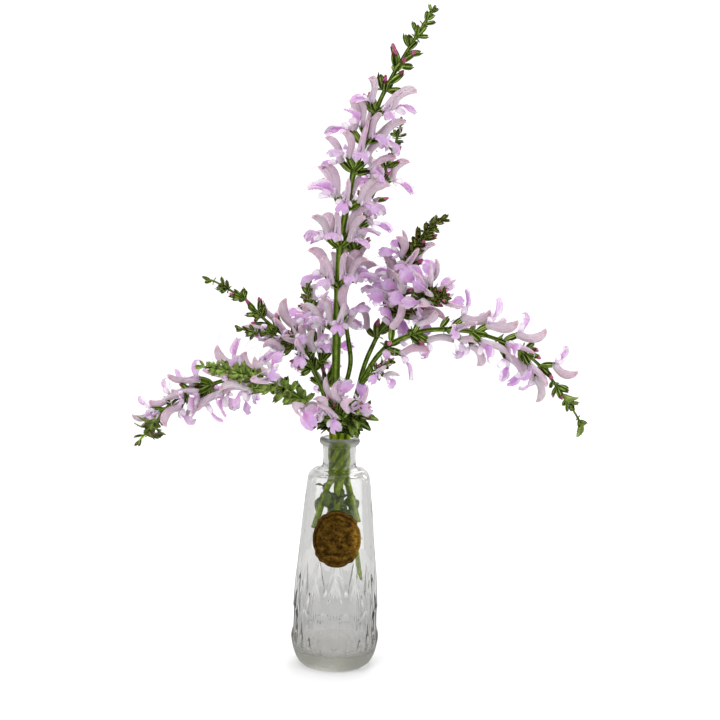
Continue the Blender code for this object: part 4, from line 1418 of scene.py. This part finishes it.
def glow_material(name, glow):
    s = Shader(name)
    s.put(Base_Color=(0.0, 0.0, 0.0, 1.0), Specular_IOR_Level=0.0)
    s.put(Emission_Color=(1.0, 1.0, 1.0, 1.0), Emission_Strength=glow)
    return s.material


def make_sheet(name, corners, material):
    """A flat sheet of the setting, in metres."""
    mesh = bpy.data.meshes.new(name)
    mesh.from_pydata(corners, [], [tuple(range(len(corners)))])
    mesh.materials.append(material)
    obj = bpy.data.objects.new(name, mesh)
    bpy.context.scene.collection.objects.link(obj)
    return obj


# The room that only glass and gloss see, by compass: from, to, and its brightness. The front is at -90.
ROOM = ((78.0, 102.0, 1.00), (102.0, 165.0, 0.68), (165.0, 195.0, 0.80), (195.0, 215.0, 0.45),
        (215.0, 325.0, 0.34), (325.0, 352.0, 1.40), (352.0, 375.0, 0.75), (375.0, 438.0, 0.68))
ROOM_RADIUS = 2.2
ROOM_HEIGHT = 2.6
FLOOR_RINGS = ((0.20, 0.54), (0.26, 0.66), (0.36, 0.80))  # reach of each round of the near floor, brightness


def make_room():
    """Glowing walls and a floor of greys all round, hidden from the camera and from diffuse light."""
    for number, (start, end, glow) in enumerate(ROOM):
        material = glow_material(f"room_grey_{number}", glow)
        steps = max(1, round((end - start) / 12.0))
        for step in range(steps):
            a = math.radians(start + (end - start) * step / steps)
            b = math.radians(start + (end - start) * (step + 1) / steps)
            left, right = (math.cos(a), math.sin(a)), (math.cos(b), math.sin(b))
            wall = [(x * ROOM_RADIUS, y * ROOM_RADIUS, z) for (x, y), z in
                    ((left, 0.0), (right, 0.0), (right, ROOM_HEIGHT), (left, ROOM_HEIGHT))]
            ground = [(0.0, 0.0, 0.0002), (left[0] * ROOM_RADIUS, left[1] * ROOM_RADIUS, 0.0002),
                      (right[0] * ROOM_RADIUS, right[1] * ROOM_RADIUS, 0.0002)]
            for name, corners in (("wall", wall), ("ground", ground)):
                hide(make_sheet(f"room_{name}_{number}_{step}", corners, material))
    for number, (reach, glow) in enumerate(reversed(FLOOR_RINGS)):
        height = 0.0003 + 0.0001 * number
        disc = [(reach * math.cos(math.tau * i / 48), reach * math.sin(math.tau * i / 48), height)
                for i in range(48)]
        hide(make_sheet(f"room_near_{number}", disc, glow_material(f"near_grey_{number}", glow)))


def hide(card):
    """Shows a card to glass and gloss only."""
    card.visible_camera = False
    card.visible_diffuse = False
    card.visible_shadow = False


def make_setting():
    """A white floor and world, with soft light from everywhere."""
    half = 3.0
    make_sheet("floor", [(-half, -half, 0), (half, -half, 0), (half, half, 0), (-half, half, 0)],
               plain_material("white_floor", (0.95, 0.95, 0.95)))
    make_room()
    world = bpy.data.worlds.new("white_room")
    world.use_nodes = True
    world.node_tree.nodes["Background"].inputs["Color"].default_value = (1.0, 1.0, 1.0, 1.0)
    world.node_tree.nodes["Background"].inputs["Strength"].default_value = 1.12
    bpy.context.scene.world = world
    bpy.context.scene.view_settings.view_transform = "Standard"


LIGHTS = (  # name, place, target, size, power in watts
    ("key", (-0.8, -1.1, 1.3), (0.0, 0.0, 0.22), 0.8, 6.5),
    ("fill", (1.2, -1.0, 0.7), (0.0, 0.0, 0.25), 0.7, 4.0),
    ("rim", (0.3, 1.3, 1.1), (0.0, 0.0, 0.28), 0.8, 6.0),
)


def make_lights():
    for name, place, target, size, power in LIGHTS:
        light = bpy.data.lights.new(name, "AREA")
        light.size = size
        light.energy = power
        lamp = bpy.data.objects.new(name, light)
        lamp.location = place
        lamp.rotation_euler = (Vector(place) - Vector(target)).to_track_quat("Z", "Y").to_euler()
        bpy.context.scene.collection.objects.link(lamp)


CAMERA_PLACE = (12.70, -932.0, 306.94)
CAMERA_PITCH = math.radians(5.45)  # below the horizon
CAMERA_ROLL = math.radians(1.58)
CAMERA_LENS = 66.6


def make_camera():
    forward = Vector((0.0, math.cos(CAMERA_PITCH), -math.sin(CAMERA_PITCH)))
    right = Vector((1.0, 0.0, 0.0))
    up = right.cross(forward)
    rolled_right = right * math.cos(CAMERA_ROLL) + up * math.sin(CAMERA_ROLL)
    rolled_up = up * math.cos(CAMERA_ROLL) - right * math.sin(CAMERA_ROLL)
    data = bpy.data.cameras.new("camera")
    data.lens = CAMERA_LENS
    data.sensor_width = 36.0
    data.clip_end = 20.0
    camera = bpy.data.objects.new("camera", data)
    placed = Matrix((rolled_right, rolled_up, -forward)).transposed().to_4x4()
    placed.translation = Vector(CAMERA_PLACE) * MM
    camera.matrix_world = placed
    bpy.context.scene.collection.objects.link(camera)
    bpy.context.scene.camera = camera


def main():
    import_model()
    lines, organs = grow()
    organs += filler_organs(lines, organs)
    green, petal = green_material(), petal_material()
    for stem in FEET:
        grow_stem(stem, lines, organs, green, petal)
    make_bottle(glass_material())
    make_seal(bronze_material())
    make_setting()
    make_lights()
    make_camera()
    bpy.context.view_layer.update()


main()
